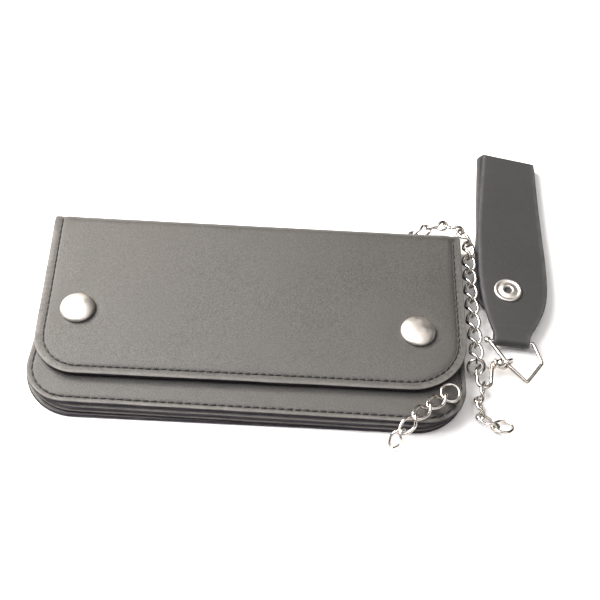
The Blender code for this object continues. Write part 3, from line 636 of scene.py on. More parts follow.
def tube_mesh(path, radii, closed, sides, first=0):
    """Verts and faces of a round wire along a path; an open one gets rounded ends."""
    path = np.asarray(path, float)
    radii = np.broadcast_to(np.asarray(radii, float), len(path)).copy()
    if not closed:
        lead, tail = unit(path[0] - path[1]), unit(path[-1] - path[-2])
        turns = [math.radians(a) for a in (30, 60, 82)]
        start = [path[0] + lead * radii[0] * math.sin(a) for a in reversed(turns)]
        end = [path[-1] + tail * radii[-1] * math.sin(a) for a in turns]
        start_radii = [radii[0] * math.cos(a) for a in reversed(turns)]
        end_radii = [radii[-1] * math.cos(a) for a in turns]
        path = np.vstack([start, path, end])
        radii = np.concatenate([start_radii, radii, end_radii])
        tangents = unit(np.gradient(path, axis=0))
    else:
        tangents = unit(np.roll(path, -1, 0) - np.roll(path, 1, 0))
    count = len(path)
    helper = np.eye(3)[np.argmin(np.abs(tangents[0]))]
    normal = unit(np.cross(tangents[0], helper))
    normals = []
    for tangent in tangents:
        normal = unit(normal - tangent * (normal @ tangent))
        normals.append(normal)
    slip = 0.0
    if closed:
        carried = unit(normals[-1] - tangents[0] * (normals[-1] @ tangents[0]))
        slip = math.atan2(np.cross(carried, normals[0]) @ tangents[0], carried @ normals[0])
    verts, faces = [], []
    for i in range(count):
        side = np.cross(tangents[i], normals[i])
        turn = slip * i / count
        for s in range(sides):
            angle = math.tau * s / sides + turn
            verts.append(path[i] + (normals[i] * math.cos(angle) + side * math.sin(angle)) * radii[i])
    for i in range(count if closed else count - 1):
        row, after = first + i * sides, first + (i + 1) % count * sides
        for s in range(sides):
            t = (s + 1) % sides
            faces.append((row + s, row + t, after + t, after + s))
    if not closed:
        faces.append(tuple(first + s for s in reversed(range(sides))))
        faces.append(tuple(first + (count - 1) * sides + s for s in range(sides)))
    return verts, faces


def wire(name, path, radii, body, node=None, closed=False, finish=None, sides=WIRE_SIDES):
    verts, faces = tube_mesh(path, radii, closed, sides)
    obj = mesh_piece(name, verts, faces, [finish or NICKEL], sharp=60)
    return attach(obj, body, *([node] if node else []))


def lathe(name, profile, matrix, finish, closed=False, sharp=28):
    """A turned piece from (radius, z) pairs, top to bottom down its outer side."""
    verts, faces, rows = [], [], []
    for radius, z in profile:
        if radius < 1e-7:
            rows.append([len(verts)] * TURN_STEPS)
            verts.append(matrix @ Vector((0, 0, z)))
            continue
        rows.append(list(range(len(verts), len(verts) + TURN_STEPS)))
        for s in range(TURN_STEPS):
            angle = math.tau * s / TURN_STEPS
            verts.append(matrix @ Vector((radius * math.cos(angle), radius * math.sin(angle), z)))
    pairs = list(zip(rows, rows[1:]))
    if closed:
        pairs.append((rows[-1], rows[0]))
    for upper, lower in pairs:
        for s in range(TURN_STEPS):
            t = (s + 1) % TURN_STEPS
            corners = tuple(dict.fromkeys((upper[s], lower[s], lower[t], upper[t])))
            if len(corners) > 2:
                faces.append(corners)
    return mesh_piece(name, verts, faces, [finish], sharp=sharp)


STITCH = ((0.02, -1.1, 0.75), (0.12, -0.25, 0.9), (0.28, 0.35, 1.0), (0.5, 0.55, 1.04),
          (0.72, 0.35, 1.0), (0.88, -0.25, 0.9), (0.98, -1.1, 0.75))      # share of its length, rise, width


def stitches(name, path, surface, body=None, place=None, pitch=STITCH_PITCH, thickness=THREAD):
    """A row of thread: each stitch rises from one needle hole and dips into the next.

    path is flat (x, y) points, surface(x, y) the leather's height there, place as in leather_sheet."""
    holes = evenly(path, pitch)
    shares, rises, widths = np.array(STITCH).T
    verts, faces = [], []
    for index, (start, end) in enumerate(zip(holes, holes[1:])):
        run = end - start
        slant = unit(np.array([-run[1], run[0]])) * 0.12 * thickness * (1 if index % 2 else -1)
        flat = start + np.outer(shares, run) + np.outer(shares - 0.5, slant)
        line = np.column_stack([flat, surface(*flat.T) + rises * thickness])
        if place is not None:
            line = place(*line.T)
        more_verts, more_faces = tube_mesh(line, thickness * widths, False, 8, len(verts))
        verts += more_verts
        faces += more_faces
    obj = mesh_piece(name, verts, faces, [THREAD_FINISH], sharp=80)
    return attach(obj, body) if body else obj


# ---------------------------------------------------------------- cover and flap

FLAP = panel_corners("cover_flap")
BACK = panel_corners("cover_back")
WALLET_TOP = heights("cover_flap")[1]
SPINE_RADIUS = WALLET_TOP / 2
SPINE_Y = joint("flap_fold")["pos_m"][1]
QUARTER = SPINE_RADIUS * math.pi / 2
SPINE_END = SPINE_Y + 2 * QUARTER


def unroll(x, s, n):
    """From the cover laid flat to the object: s runs over the flap, round the spine and along the back.

    n is the height over the inner face, so the grain side is at n = COVER."""
    angle = np.clip((s - SPINE_Y) / SPINE_RADIUS, 0, math.pi)
    reach = SPINE_RADIUS - COVER + n
    past = np.where(s > SPINE_END, SPINE_Y - (s - SPINE_END), SPINE_Y + reach * np.sin(angle))
    y = np.where(s < SPINE_Y, s, past)
    z = SPINE_RADIUS + reach * np.cos(angle)
    return np.column_stack([x, y, z])


FRONT_S = FLAP[0][1]
BACK_S = SPINE_END + SPINE_Y - (BACK[0][1] + BACK[1][1]) / 2
SEAM_S = SPINE_Y + QUARTER


def side_x(left, s):
    """The cover's edge at s: straight from the flap's front corner to the back's."""
    flap_x, back_x = (FLAP[0][0], BACK[0][0]) if left else (FLAP[1][0], BACK[1][0])
    return flap_x + (back_x - flap_x) * (s - FRONT_S) / (BACK_S - FRONT_S)


FLAP_SHAPE = [(side_x(True, FRONT_S), FRONT_S), (side_x(False, FRONT_S), FRONT_S),
              (side_x(False, SEAM_S), SEAM_S), (side_x(True, SEAM_S), SEAM_S)]
FLAP_RADII = (*FLAP_CORNERS, 0, 0)


def flap_drop(x, y):
    """How far the flap hangs below its flat height: its free border sags, and it gives round the caps."""
    depth = edge_distance(FLAP_SHAPE, FLAP_RADII, x, y)
    fold = 1 - ease(24 * MM, 44 * MM, y)
    drop = FLAP_SAG * (1 - ease(0, 16 * MM, depth)) * fold
    for cap in ("snap_cap_left", "snap_cap_right"):
        cap_x, cap_y = middle_of(cap)
        drop = drop + 0.18 * MM * bell(np.hypot(x - cap_x, y - cap_y), 8.6 * MM, 2.4 * MM)
    return drop - 0.16 * MM * ripple(x, y, 55 * MM, 1) * fold


def flap_top(x, y):
    depth = edge_distance(FLAP_SHAPE, FLAP_RADII, x, y)
    channel = CHANNEL_DEPTH * bell(depth, SEAM_INSET, CHANNEL_WIDTH)
    puff = 0.15 * MM * bell(depth, SEAM_INSET + 3.2 * MM, 2.6 * MM)
    return COVER - flap_drop(x, y) - channel + puff


def flap_bottom(x, y):
    return -flap_drop(x, y)


def channel_rows(corners, radii, inset, top):
    """Rows of points on and beside a seam, so that its channel has a shape."""
    return [evenly(seam_line(corners, radii, inset + shift * 0.55 * MM, top), 1.0 * MM)
            for shift in (-1.5, -0.7, 0, 0.7, 1.5, 2.6)]


def cross_rows(first, step):
    """Rows of points across the cover, where it bends round the spine."""
    rows = []
    for s in (first + step * k for k in range(14)):
        xs = np.arange(side_x(True, s) + 1 * MM, side_x(False, s), 1.6 * MM)
        rows.append(np.column_stack([xs, np.full(len(xs), s)]))
    return rows


def cover():
    """One leather from the flap's front edge over the spine to the back's."""
    outline = closed_outline(FLAP_SHAPE, FLAP_RADII)
    butted = outline[:, 1] > SEAM_S - 1e-6
    wobble = 0.12 * MM * ripple(*outline.T, 31 * MM, 4)
    outline[:, 1] += np.where(butted | (outline[:, 1] > 40 * MM), 0, wobble)
    rows = channel_rows(FLAP_SHAPE, FLAP_RADII, SEAM_INSET, SPINE_Y + 5 * MM)
    rows += cross_rows(SPINE_Y - 3 * MM, 1.0 * MM)
    flap = leather_sheet("flap_leather", outline, flap_top, flap_bottom, 1.7 * MM, LEATHER,
                         place=unroll, rows=rows, butted=butted)
    thread_line = seam_line(FLAP_SHAPE, FLAP_RADII, SEAM_INSET, SPINE_Y + 3 * MM)
    sewing = stitches("flap_stitching", thread_line, flap_top, place=unroll)
    start, end = (0, SPINE_Y + 1.5 * MM, WALLET_TOP), (0, SPINE_Y - 2.5 * MM, WALLET_TOP)
    for piece in (flap, sewing):
        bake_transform(piece)
        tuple(start)
        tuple(end)
    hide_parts("cover_flap")

    shape = [(side_x(True, SEAM_S), SEAM_S), (side_x(False, SEAM_S), SEAM_S),
             (side_x(False, BACK_S), BACK_S), (side_x(True, BACK_S), BACK_S)]
    outline = closed_outline(shape, (0, 0, LOWER_CORNER, LOWER_CORNER))
    mirrored = [(x, -s) for x, s in reversed(shape)]
    radii = (LOWER_CORNER, LOWER_CORNER, 0, 0)

    def outer(x, s):
        depth = edge_distance(mirrored, radii, x, -s)
        return COVER - CHANNEL_DEPTH * 1.5 * bell(depth, BODY_SEAM_INSET, CHANNEL_WIDTH)

    rows = [row * (1, -1) for row in channel_rows(mirrored, radii, BODY_SEAM_INSET, -SPINE_END - 4 * MM)]
    rows += cross_rows(SEAM_S + 0.9 * MM, 0.9 * MM)
    back = leather_sheet("back_leather", outline, outer, level(0.0), 2.4 * MM, LEATHER,
                         place=unroll, rows=rows, butted=outline[:, 1] < SEAM_S + 1e-6)
    attach(back, "wallet", "cover_back")
    line = seam_line(mirrored, radii, BODY_SEAM_INSET, -SPINE_END - 6 * MM) * (1, -1)
    stitches("back_stitching", line, outer, "wallet", place=unroll)


def flap_inside():
    """The lining follows the flap's sag just under it."""
    low, high = heights("flap_lining")
    corners = panel_corners("flap_lining")
    radii = (FLAP_CORNERS[0] - 1.5 * MM, FLAP_CORNERS[1] - 1.5 * MM, MOUTH_CORNER, MOUTH_CORNER)

    def top(x, y):
        return high - flap_drop(x, y)

    def bottom(x, y):
        depth = edge_distance(FLAP_SHAPE, FLAP_RADII, x, y)
        return low - flap_drop(x, y) + 0.15 * MM * bell(depth, SEAM_INSET, CHANNEL_WIDTH)

    rows = channel_rows(FLAP_SHAPE, FLAP_RADII, SEAM_INSET, SPINE_Y - 6 * MM)
    lining = leather_sheet("flap_lining_leather", closed_outline(corners, radii), top, bottom, 2.2 * MM,
                           LINING, rows=rows, edge=0.2 * MM)
    attach(lining, "flap", "flap_lining")
    line = seam_line(FLAP_SHAPE, FLAP_RADII, SEAM_INSET, SPINE_Y - 4 * MM)
    stitches("flap_inner_stitching", line, lambda x, y: bottom(x, y) - 0.1 * MM, "flap")


# ---------------------------------------------------------------- panels of the body

def body_panel(node, top_level, rim_low, layers, seam, finish, spacing):
    """A panel of the stack. At its sewn border it is as thick as the layers folded into it."""
    corners = panel_corners(node)
    low, _ = heights(node)
    front = BODY_CORNER if seam else LOWER_CORNER
    radii = (front, front, MOUTH_CORNER, MOUTH_CORNER)

    def top(x, y):
        depth = edge_distance(corners, radii, x, y)
        height = top_level - 0.25 * MM * np.exp(-depth / (1.5 * MM))
        if seam:
            height = height - CHANNEL_DEPTH * bell(depth, BODY_SEAM_INSET, CHANNEL_WIDTH)
        return height

    def bottom(x, y):
        depth = edge_distance(corners, radii, x, y)
        return rim_low + (low - rim_low) * ease(7 * MM, 11 * MM, depth)

    outline = closed_outline(corners, radii)
    seed = len(node)
    outline += 0.14 * MM * np.column_stack([ripple(*outline.T, 23 * MM, seed),
                                            ripple(*outline.T, 27 * MM, seed + 2)])
    mouth = corners[2][1]
    rows = channel_rows(corners, radii, BODY_SEAM_INSET, mouth - 1 * MM) if seam else []
    panel = leather_sheet(node + "_leather", outline, top, bottom, spacing, finish, rows=rows, layers=layers)
    attach(panel, "wallet", node)
    if seam:
        line = seam_line(corners, radii, BODY_SEAM_INSET, mouth - 2 * MM)
        stitches(node + "_stitching", line, top, "wallet", pitch=STITCH_PITCH * 1.1)


def body_panels():
    """The sewn stack, from the front panel down: (node, layers, whether it is sewn, finish)."""
    touch = 0.05 * MM
    stack = (("front_panel", 2, True, LEATHER), ("coin_pocket_front", 1, False, LEATHER),
             ("coin_pocket_back", 1, False, LEATHER), ("bill_divider", 1, False, LINING))
    tops = [heights(node)[1] for node, *_ in stack] + [COVER]
    for (node, layers, seam, finish), top, below in zip(stack, tops, tops[1:]):
        body_panel(node, top, below + touch, layers, seam, finish, 1.9 * MM if seam else 3 * MM)


def flat_sheet(name, node, outline, finish, spacing, edge, top=None):
    """A flat panel in the place of its CAD node, as high as that or up to top."""
    low, high = heights(node)
    sheet = leather_sheet(name, outline, level(top or high), level(low), spacing, finish, edge=edge)
    return attach(sheet, "wallet", node)


def pocket_sheet(node, outline, finish, seam):
    """A flat panel with a row of fine stitches along seam."""
    flat_sheet(node + "_leather", node, outline, finish, 3 * MM, 0.25 * MM)
    stitches(node + "_stitching", seam, level(heights(node)[1] - 0.05 * MM), "wallet",
             pitch=2.6 * MM, thickness=0.22 * MM)


def pockets():
    """Two card pockets with thumb notches, and the strip above the coin pocket's zip."""
    inset = 1.6 * MM
    notch_radius = 9 * MM
    notch_rise = 4 * MM
    lean = math.degrees(math.asin(notch_rise / notch_radius))
    radii = (1.5 * MM,) * 4
    for side in ("left", "right"):
        node = "card_pocket_" + side
        corners = box_corners(node)
        back_y = corners[2][1]
        notch = arc((middle_of(node)[0], back_y + notch_rise), notch_radius, -lean, lean - 180, 16)
        arcs, runs = rounded_outline(corners, radii)
        path = arcs[0] + runs[0] + arcs[1] + runs[1] + arcs[2] + notch + arcs[3] + runs[3]
        outline = evenly(np.array([p[:] for p in path]), OUTLINE_STEP, closed=True)
        pocket_sheet(node, outline, LINING, seam_line(corners, radii, inset, back_y - 1 * MM))
    node = "coin_pocket_top_strip"
    corners = box_corners(node)
    (left, front), (right, _) = corners[:2]
    line = np.array([(left + 4 * MM, front + inset), (right - 4 * MM, front + inset)])
    pocket_sheet(node, closed_outline(corners, (1.0 * MM,) * 4), LEATHER, line)


def tooth(low, high, first):
    """A small pressed metal block, drawn in above and below; first is the number of its first point."""
    (x0, y0, z0), (x1, y1, z1) = low, high
    cx, cy = (x0 + x1) / 2, (y0 + y1) / 2
    verts = []
    for rise, share in ((0, 0.82), (0.25, 1), (0.75, 1), (1, 0.82)):
        for x, y in ((x0, y0), (x1, y0), (x1, y1), (x0, y1)):
            verts.append((cx + (x - cx) * share, cy + (y - cy) * share, z0 + (z1 - z0) * rise))
    faces = [(3, 2, 1, 0), (12, 13, 14, 15)]
    for row in (0, 4, 8):
        for i in range(4):
            k = (i + 1) % 4
            faces.append((row + i, row + k, row + 4 + k, row + 4 + i))
    return verts, [tuple(first + i for i in face) for face in faces]


def zip_rows():
    """Woven tapes with a corded edge, and the two rows of teeth that mesh between them."""
    boxes = {name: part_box("zip_tape_" + name) for name in ("lower", "upper")}
    middle = (boxes["lower"][1].y + boxes["upper"][0].y) / 2
    verts, faces = [], []
    pitch = 1.5 * MM
    margin = 1.2 * MM
    for name, side in (("lower", -1), ("upper", 1)):
        low, high = boxes[name]
        node = "zip_tape_" + name
        near = high.y if side < 0 else low.y
        flat_sheet("zip_cloth_" + name, node, closed_outline(box_corners(node), (0.6 * MM,) * 4), TAPE,
                   4 * MM, 0.12 * MM, low.z + 0.4 * MM)
        cord_y, cord_z = near + side * 0.9 * MM, low.z + 0.6 * MM
        path = [(x, cord_y, cord_z) for x in (low.x + 0.5 * MM, 0, high.x - 0.5 * MM)]
        cord = wire("zip_cord_" + name, path, 0.35 * MM, "wallet", finish=TAPE, sides=10)
        start = low.x + margin + (pitch / 2 if side > 0 else 0)
        y0, y1 = sorted((middle - side * 0.25 * MM, near + side * 1.3 * MM))
        for k in range(int((high.x - margin - start) / pitch)):
            x = start + k * pitch
            far = (x + pitch * 0.44, y1, low.z + 1.1 * MM)
            more_verts, more_faces = tooth((x, y0, low.z + 0.15 * MM), far, len(verts))
            verts += more_verts
            faces += more_faces
    attach(mesh_piece("zip_teeth", verts, faces, [NICKEL], sharp=30), "wallet")


# ---------------------------------------------------------------- metal fittings

def dome(radius, height, rim):
    """Half profile of a low pressed cap with a rolled rim, from the crown down."""
    flatness = 0.94
    points = [(0.0, height)]
    for k in range(1, 25):
        angle = math.pi / 2 * k / 24
        points.append((radius * math.sin(angle) ** flatness, rim + (height - rim) * math.cos(angle)))
    for k in range(1, 6):
        angle = math.pi * k / 6
        points.append((radius - rim / 2 * (1 - math.cos(angle)) * 0.6, rim / 2 + rim / 2 * math.cos(angle)))
    under = 0.02 * MM
    points += [(radius - rim * 1.2, under), (radius * 0.3, under), (radius * 0.3, -0.4 * MM), (0, -0.4 * MM)]
    return points


def turned(name, node, body, profile, base, finish=None, closed=False):
    """A turned piece standing at height base in the middle of its CAD node."""
    place = Matrix.Translation((*middle_of(node), base))
    return attach(lathe(name, profile, place, finish or NICKEL, closed), body, node)


def snaps():
    for side in ("left", "right"):
        node = "snap_cap_" + side
        low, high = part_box(node)
        base = WALLET_TOP - 0.12 * MM
        profile = dome(0.96 * (high.x - low.x) / 2, high.z - base, 0.55 * MM)
        turned("cap_" + side, node, "flap", profile, base, CAP_NICKEL)

        node = "snap_socket_" + side
        low, high = heights(node)
        tall = (high - low) / MM
        profile = in_mm((2.0, tall), (5.2, tall), (5.4, tall - 0.15), (5.4, tall - 0.35), (5.2, tall - 0.5),
                        (4.4, tall - 0.45), (3.9, 0.25), (3.7, 0.05), (3.4, 0), (2.6, 0.1), (2.3, 0.35),
                        (2.0, tall * 0.6))
        turned("socket_" + side, node, "flap", profile, low, closed=True)

        node = "snap_stud_" + side
        low, high = heights(node)
        tall = (high - low) / MM
        profile = in_mm((0, tall), (1.2, tall), (1.65, tall - 0.12), (1.9, tall - 0.35), (1.85, tall - 0.55),
                        (1.65, tall - 0.8), (1.7, 0.4), (2.2, 0.3), (4.2, 0.3), (4.6, 0.15), (4.5, 0), (0, 0))
        turned("stud_" + side, node, "wallet", profile, low)


def snap_posts():
    for side in ("left", "right"):
        node = "snap_post_" + side
        low, high = heights(node)
        tall = (high - low) / MM
        profile = in_mm((0, tall), (1.3, tall), (1.6, tall - 0.2), (1.6, 0.42), (1.9, 0.32), (4.3, 0.3),
                        (4.6, 0.15), (4.5, 0), (0, 0))
        turned("post_" + side, node, "wallet", profile, low)


def swivel():
    """The swivel's ribbed barrel with a round eye at its end."""
    points = points_of("swivel_eye")
    start = np.array(joint("swivel_turn")["pos_m"])
    axis = unit(np.array(joint("swivel_turn")["axis"]))
    axis = axis * np.sign((points.mean(0) - start) @ axis)
    turn = Vector(axis).to_track_quat("Z", "Y").to_matrix().to_4x4()
    profile = in_mm((0, 3.8), (0.9, 3.8), (1.7, 3.6), (2.2, 3.2), (2.4, 2.7), (2.2, 2.25), (1.9, 2.0),
                    (1.85, 1.2), (2.05, 0.9), (2.35, 0.7), (2.4, 0.3), (2.2, 0.02), (1.2, 0), (1.2, 2.1),
                    (0, 2.1))
    barrel = lathe("swivel_barrel", profile, Matrix.Translation(start) @ turn, NICKEL, sharp=50)
    attach(barrel, "swivel", "swivel_eye")
    length = 3.6 * MM
    first, second, _ = main_axes(points[(points - start) @ axis > length + 0.4 * MM])
    centre = start + axis * (length + 2.4 * MM)
    path = ring_path(centre, first, second, 2.8 * MM, count=60)[:-1]
    wire("swivel_ring", path, 0.72 * MM, "swivel", closed=True)


def eyelet():
    low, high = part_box("anchor_eyelet")
    roll = 0.4 * MM
    middle = (high.x - low.x) / 2 - roll
    tall = high.z - low.z
    profile = arc((middle, tall - roll), roll, 180, 0, 8)
    profile += [(middle - 0.05 * MM, tall - 0.6 * MM), (middle - 0.05 * MM, 0.6 * MM)]
    profile += arc((middle, roll), roll, 0, -180, 8)
    turned("eyelet", "anchor_eyelet", "wallet", profile, low.z, closed=True)


def anchor_tab():
    """The leather tab behind the spine that the eyelet is set in."""
    front_left, front_right, (_, back_y), _ = box_corners("anchor_tab")
    centre = middle_of("anchor_eyelet")
    tip = back_y - centre[1]
    outline = [front_left, front_right, (front_right[0], centre[1] - tip)]
    outline += arc(centre, tip, 10, 170, 8)
    outline.append((front_left[0], centre[1] - tip))
    outline = evenly(np.array(outline), 0.8 * MM, closed=True)
    flat_sheet("anchor_leather", "anchor_tab", outline, LEATHER, 1.5 * MM, 0.3 * MM)


# ---------------------------------------------------------------- chain, hook, loop

def link(node):
    """A curb link: an oval of wire twisted a quarter turn, mostly near the end that carries the next link."""
    points = points_of(node)
    centre = points.mean(0)
    along, wide, _ = main_axes(points)
    hung_on = next(np.array(j["pos_m"]) for j in frame["joints"] if j["child"] == node)
    along = along * np.sign((centre - hung_on) @ along)
    up = np.cross(wide, along)
    half_length = ((points - centre) @ along).max() - CAD_LINK_WIRE
    half_width = np.abs((points - centre) @ wide).max() - CAD_LINK_WIRE
    path = []
    for t in np.linspace(math.pi / 2 + LINK_GAP, math.pi / 2 + math.tau - LINK_GAP, 57):
        turn = math.pi / 2 * ease(-0.1, 1.0, math.cos(t)) - math.pi / 4
        across = wide * math.cos(turn) + up * math.sin(turn)
        path.append(centre + along * half_length * math.cos(t) + across * half_width * math.sin(t))
    wire("link" + node[5:], path, LINK_WIRE, node, node)


def round_ring(node, name, radius):
    """A split ring of round wire in the place of its CAD ring."""
    points = points_of(node)
    centre = points.mean(0)
    first, second, _ = main_axes(points)
    distance = np.linalg.norm(points - centre, axis=1)
    path = ring_path(centre, first, second, (distance.max() + distance.min()) / 2, RING_GAP)
    wire(name, path, radius, node, node)


def chain():
    for node in sorted(frame["nodes"]):
        if node.startswith("chain_") and node[-2:].isdigit():
            link(node)
    round_ring("chain_b_ring", "ring_b", 0.73 * MM)
    round_ring("hook_ring", "ring_a", 0.70 * MM)
    round_ring("end_ring", "ring_end", 0.72 * MM)


def fittings():
    """The hook with its gate, and the five-sided loop."""
    path = centre_line("hook_body", 0.9 * MM)
    if path[0][0] < path[-1][0]:
        path = path[::-1]
    line = smooth_curve(path, False, 5)
    thick = 0.9 * MM - 0.15 * MM * ease(0.85, 1, np.linspace(0, 1, len(line)))
    wire("hook", line, thick, "hook", "hook_body")

    path = centre_line("hook_gate", 0.55 * MM)
    start, end = path[0], path[-1]
    arch = [start + (end - start) * t + np.array([0, 0, 0.25 * MM * math.sin(math.pi * t)])
            for t in np.linspace(0, 1, 12)]
    wire("gate", arch, 0.50 * MM, "hook_gate", "hook_gate")

    path = centre_line("wire_loop", 0.9 * MM)
    wire("loop", smooth_curve(path, True, 6), 0.92 * MM, "wire_loop", "wire_loop", closed=True)


# ---------------------------------------------------------------- belt strap

CREST = np.array(joint("strap_fold")["pos_m"])      # outermost line of the fold, halfway up
BAR = np.array(joint("strap_swing")["pos_m"])       # the loop's bar, in the neck
STRAP_U = unit(np.array(joint("strap_fold")["axis"]))   # across the strap; V runs along it and W up
STRAP_V = unit(CREST - BAR)
STRAP_W = np.cross(STRAP_U, STRAP_V)
STRAP_SHAPE = ((1, 7.9, 7.9), (5, 9.3, 9.7), (10, 11.0, 12.2), (16, 12.7, 14.6), (22, 13.8, 16.1),
               (29, 14.9, 16.7), (38, 15.8, 16.7), (50, 16.1, 16.0), (60, 16.5, 15.2), (80, 15.8, 13.8),
               (113, 14.0, 12.0))               # mm above the neck's bar, and to the left and right edges
LEAF_THICK = 1.4 * MM
RIBBON_COLUMNS = 17                  # points across a leaf's face
RIBBON_TURNS = 5                     # points round its edge
NECK_CREASE = 0.22 * MM              # the leather dips where the neck's tongue ends
STRAP_SKEW = 0.14                    # the fold runs a little askew
BACK_SHIFT = -2.3 * MM               # the back leaf has slipped sideways


def strap_place(u, v, w):
    """From the strap's own coordinates, measured from the fold's crest, to the object."""
    return CREST + u * STRAP_U + v * STRAP_V + w * STRAP_W


def strap_local(points):
    return (points - CREST) @ np.array([STRAP_U, STRAP_V, STRAP_W]).T


_, BAR_V, BAR_W = strap_local(BAR)
LEAF_RISE = strap_local(points_of("strap_front_leaf"))[:, 2].max() - LEAF_THICK / 2   # also the fold's radius
FOLD_V = -LEAF_THICK / 2 - LEAF_RISE
BACK_END = strap_local(points_of("strap_back_leaf"))[:, 1].min()


def strap_edges(v):
    """Where the strap's left and right edges lie at v: a neck, a round shoulder, a slow taper to the fold."""
    marks, left, right = np.array(STRAP_SHAPE).T * MM
    around = [v - BAR_V + shift * MM for shift in (-3, -1.5, 0, 1.5, 3)]
    return np.mean([(np.interp(at, marks, left), np.interp(at, marks, right)) for at in around], axis=0)


def strap_line():
    """The strap's middle from the neck's crest, over the fold, to the back leaf's free end: (v, w)."""
    line = [(v, LEAF_RISE) for v in np.arange(BAR_V + 0.4 * MM, BAR_V + 10 * MM, 0.4 * MM)]
    line += [(v, LEAF_RISE) for v in np.arange(BAR_V + 10.4 * MM, FOLD_V, 1.2 * MM)]
    line += arc((FOLD_V, 0), LEAF_RISE, 90, -90, 16)
    line += [(v, -LEAF_RISE) for v in np.arange(FOLD_V - 1.2 * MM, BACK_END + 1.5 * MM, -1.2 * MM)]
    line += [(BACK_END + share * MM, -LEAF_RISE) for share in (0.9, 0.45, 0.15, 0)]
    line = np.array(line)
    crease = NECK_CREASE * bell(line[:, 0], BAR_V + 5.6 * MM, 1.1 * MM)
    line[:, 1] -= np.where(line[:, 1] > 0, crease, 0)
    return line


def ribbon_section():
    """Round a leather strip: (share of its half width, share of its half thickness, bulge of its edge)."""
    across = np.linspace(-1, 1, RIBBON_COLUMNS)
    turns = np.radians(np.linspace(90, -90, RIBBON_TURNS + 2)[1:-1])
    section = [(u, 1, 0.0) for u in across]
    section += [(1, math.sin(a), math.cos(a)) for a in turns]
    section += [(-u, -1, 0.0) for u in across]
    section += [(-1, -math.sin(a), -math.cos(a)) for a in turns]
    return section


def ribbon(name, line, half, shift, finish, skew):
    """A strip of leather along (v, w) points with rounded edges; half, shift and skew are given at each."""
    forward = unit(np.gradient(line, axis=0))
    normal = np.column_stack([-forward[:, 1], forward[:, 0]])
    section = ribbon_section()
    sides = len(section)
    verts, faces, slots, wear_and_rim_highlight = [], [], [], []
    for i, (v, w) in enumerate(line):
        inner = half[i] - EDGE
        for across, height, bulge in section:
            u = across * inner + bulge * EDGE + shift[i]
            lift = LEAF_THICK / 2 * height
            verts.append(strap_place(u, v + normal[i][0] * lift - skew[i] * u, w + normal[i][1] * lift))
            # Painted lighter towards the strap's edges, more on the faces than round the turned edge: partly
            # wear, partly a painted highlight on the rounded rims.
            rubbed_and_rim_lit = 0.9 if abs(height) == 1 else 0.7
            wear_and_rim_highlight.append(rubbed_and_rim_lit * math.exp(-(1 - abs(across)) * inner / (0.6 * MM)))
    right_edge = range(RIBBON_COLUMNS, RIBBON_COLUMNS + RIBBON_TURNS - 1)
    left_edge = range(2 * RIBBON_COLUMNS + RIBBON_TURNS, sides)
    for row in range(0, (len(line) - 1) * sides, sides):
        for s in range(sides):
            t = (s + 1) % sides
            faces.append((row + s, row + t, row + sides + t, row + sides + s))
            slots.append(1 if s in right_edge or s in left_edge else 0)
    faces.append(tuple(reversed(range(sides))))
    faces.append(tuple((len(line) - 1) * sides + s for s in range(sides)))
    slots += [1, 1]
    obj = mesh_piece(name, verts, faces, [finish, CUT], slots)
    work = bmesh.new()
    work.from_mesh(obj.data)
    bmesh.ops.recalc_face_normals(work, faces=work.faces)
    work.to_mesh(obj.data)
    work.free()
    set_wear_and_rim_highlight(obj, wear_and_rim_highlight)
    return obj


def strap():
    """Both leaves are one ribbon that bends in the fold; the neck wraps the loop's bar."""
    line = strap_line()
    v, w = line.T
    on_front = w > 0
    left, right = strap_edges(v)
    blunt = 10 * MM
    drop = np.clip(1 - (v - BACK_END) / blunt, 0, 1)
    half = (left + right) / 2 - np.where(on_front, 0, blunt * (1 - np.sqrt(1 - drop ** 2)))
    turn = np.clip((LEAF_RISE - w) / (2 * LEAF_RISE), 0, 1)
    far = np.clip((v - BACK_END) / (FOLD_V - BACK_END), 0, 1)
    slip = np.where(on_front, 0, BACK_SHIFT * np.abs(2 * far - 1)) * ease(0.3, 1.0, turn)
    skew = STRAP_SKEW * ease(BACK_END + 30 * MM, FOLD_V, v)
    leaf = ribbon("strap_leather", line, half, slip + (right - left) / 2, STRAP, skew)
    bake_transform(leaf)
    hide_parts("strap_front_leaf", "strap_back_leaf")

    tongue = LEAF_RISE - LEAF_THICK - 0.15 * MM
    wrap = [(BAR_V + 0.4 * MM, LEAF_RISE)]
    wrap += arc((BAR_V, BAR_W), LEAF_RISE - BAR_W, 90, 290, 24)
    wrap += [(BAR_V + 5.8 * MM, tongue - 0.35 * MM), (BAR_V + 9 * MM, tongue), (BAR_V + 13 * MM, tongue)]
    wrap = evenly(np.array(wrap), 0.6 * MM)
    left, right = strap_edges(np.full(len(wrap), BAR_V + 0.4 * MM))
    neck = ribbon("strap_neck", wrap, (left + right) / 2, (right - left) / 2, STRAP, np.zeros(len(wrap)))
    attach(neck, "strap_front")


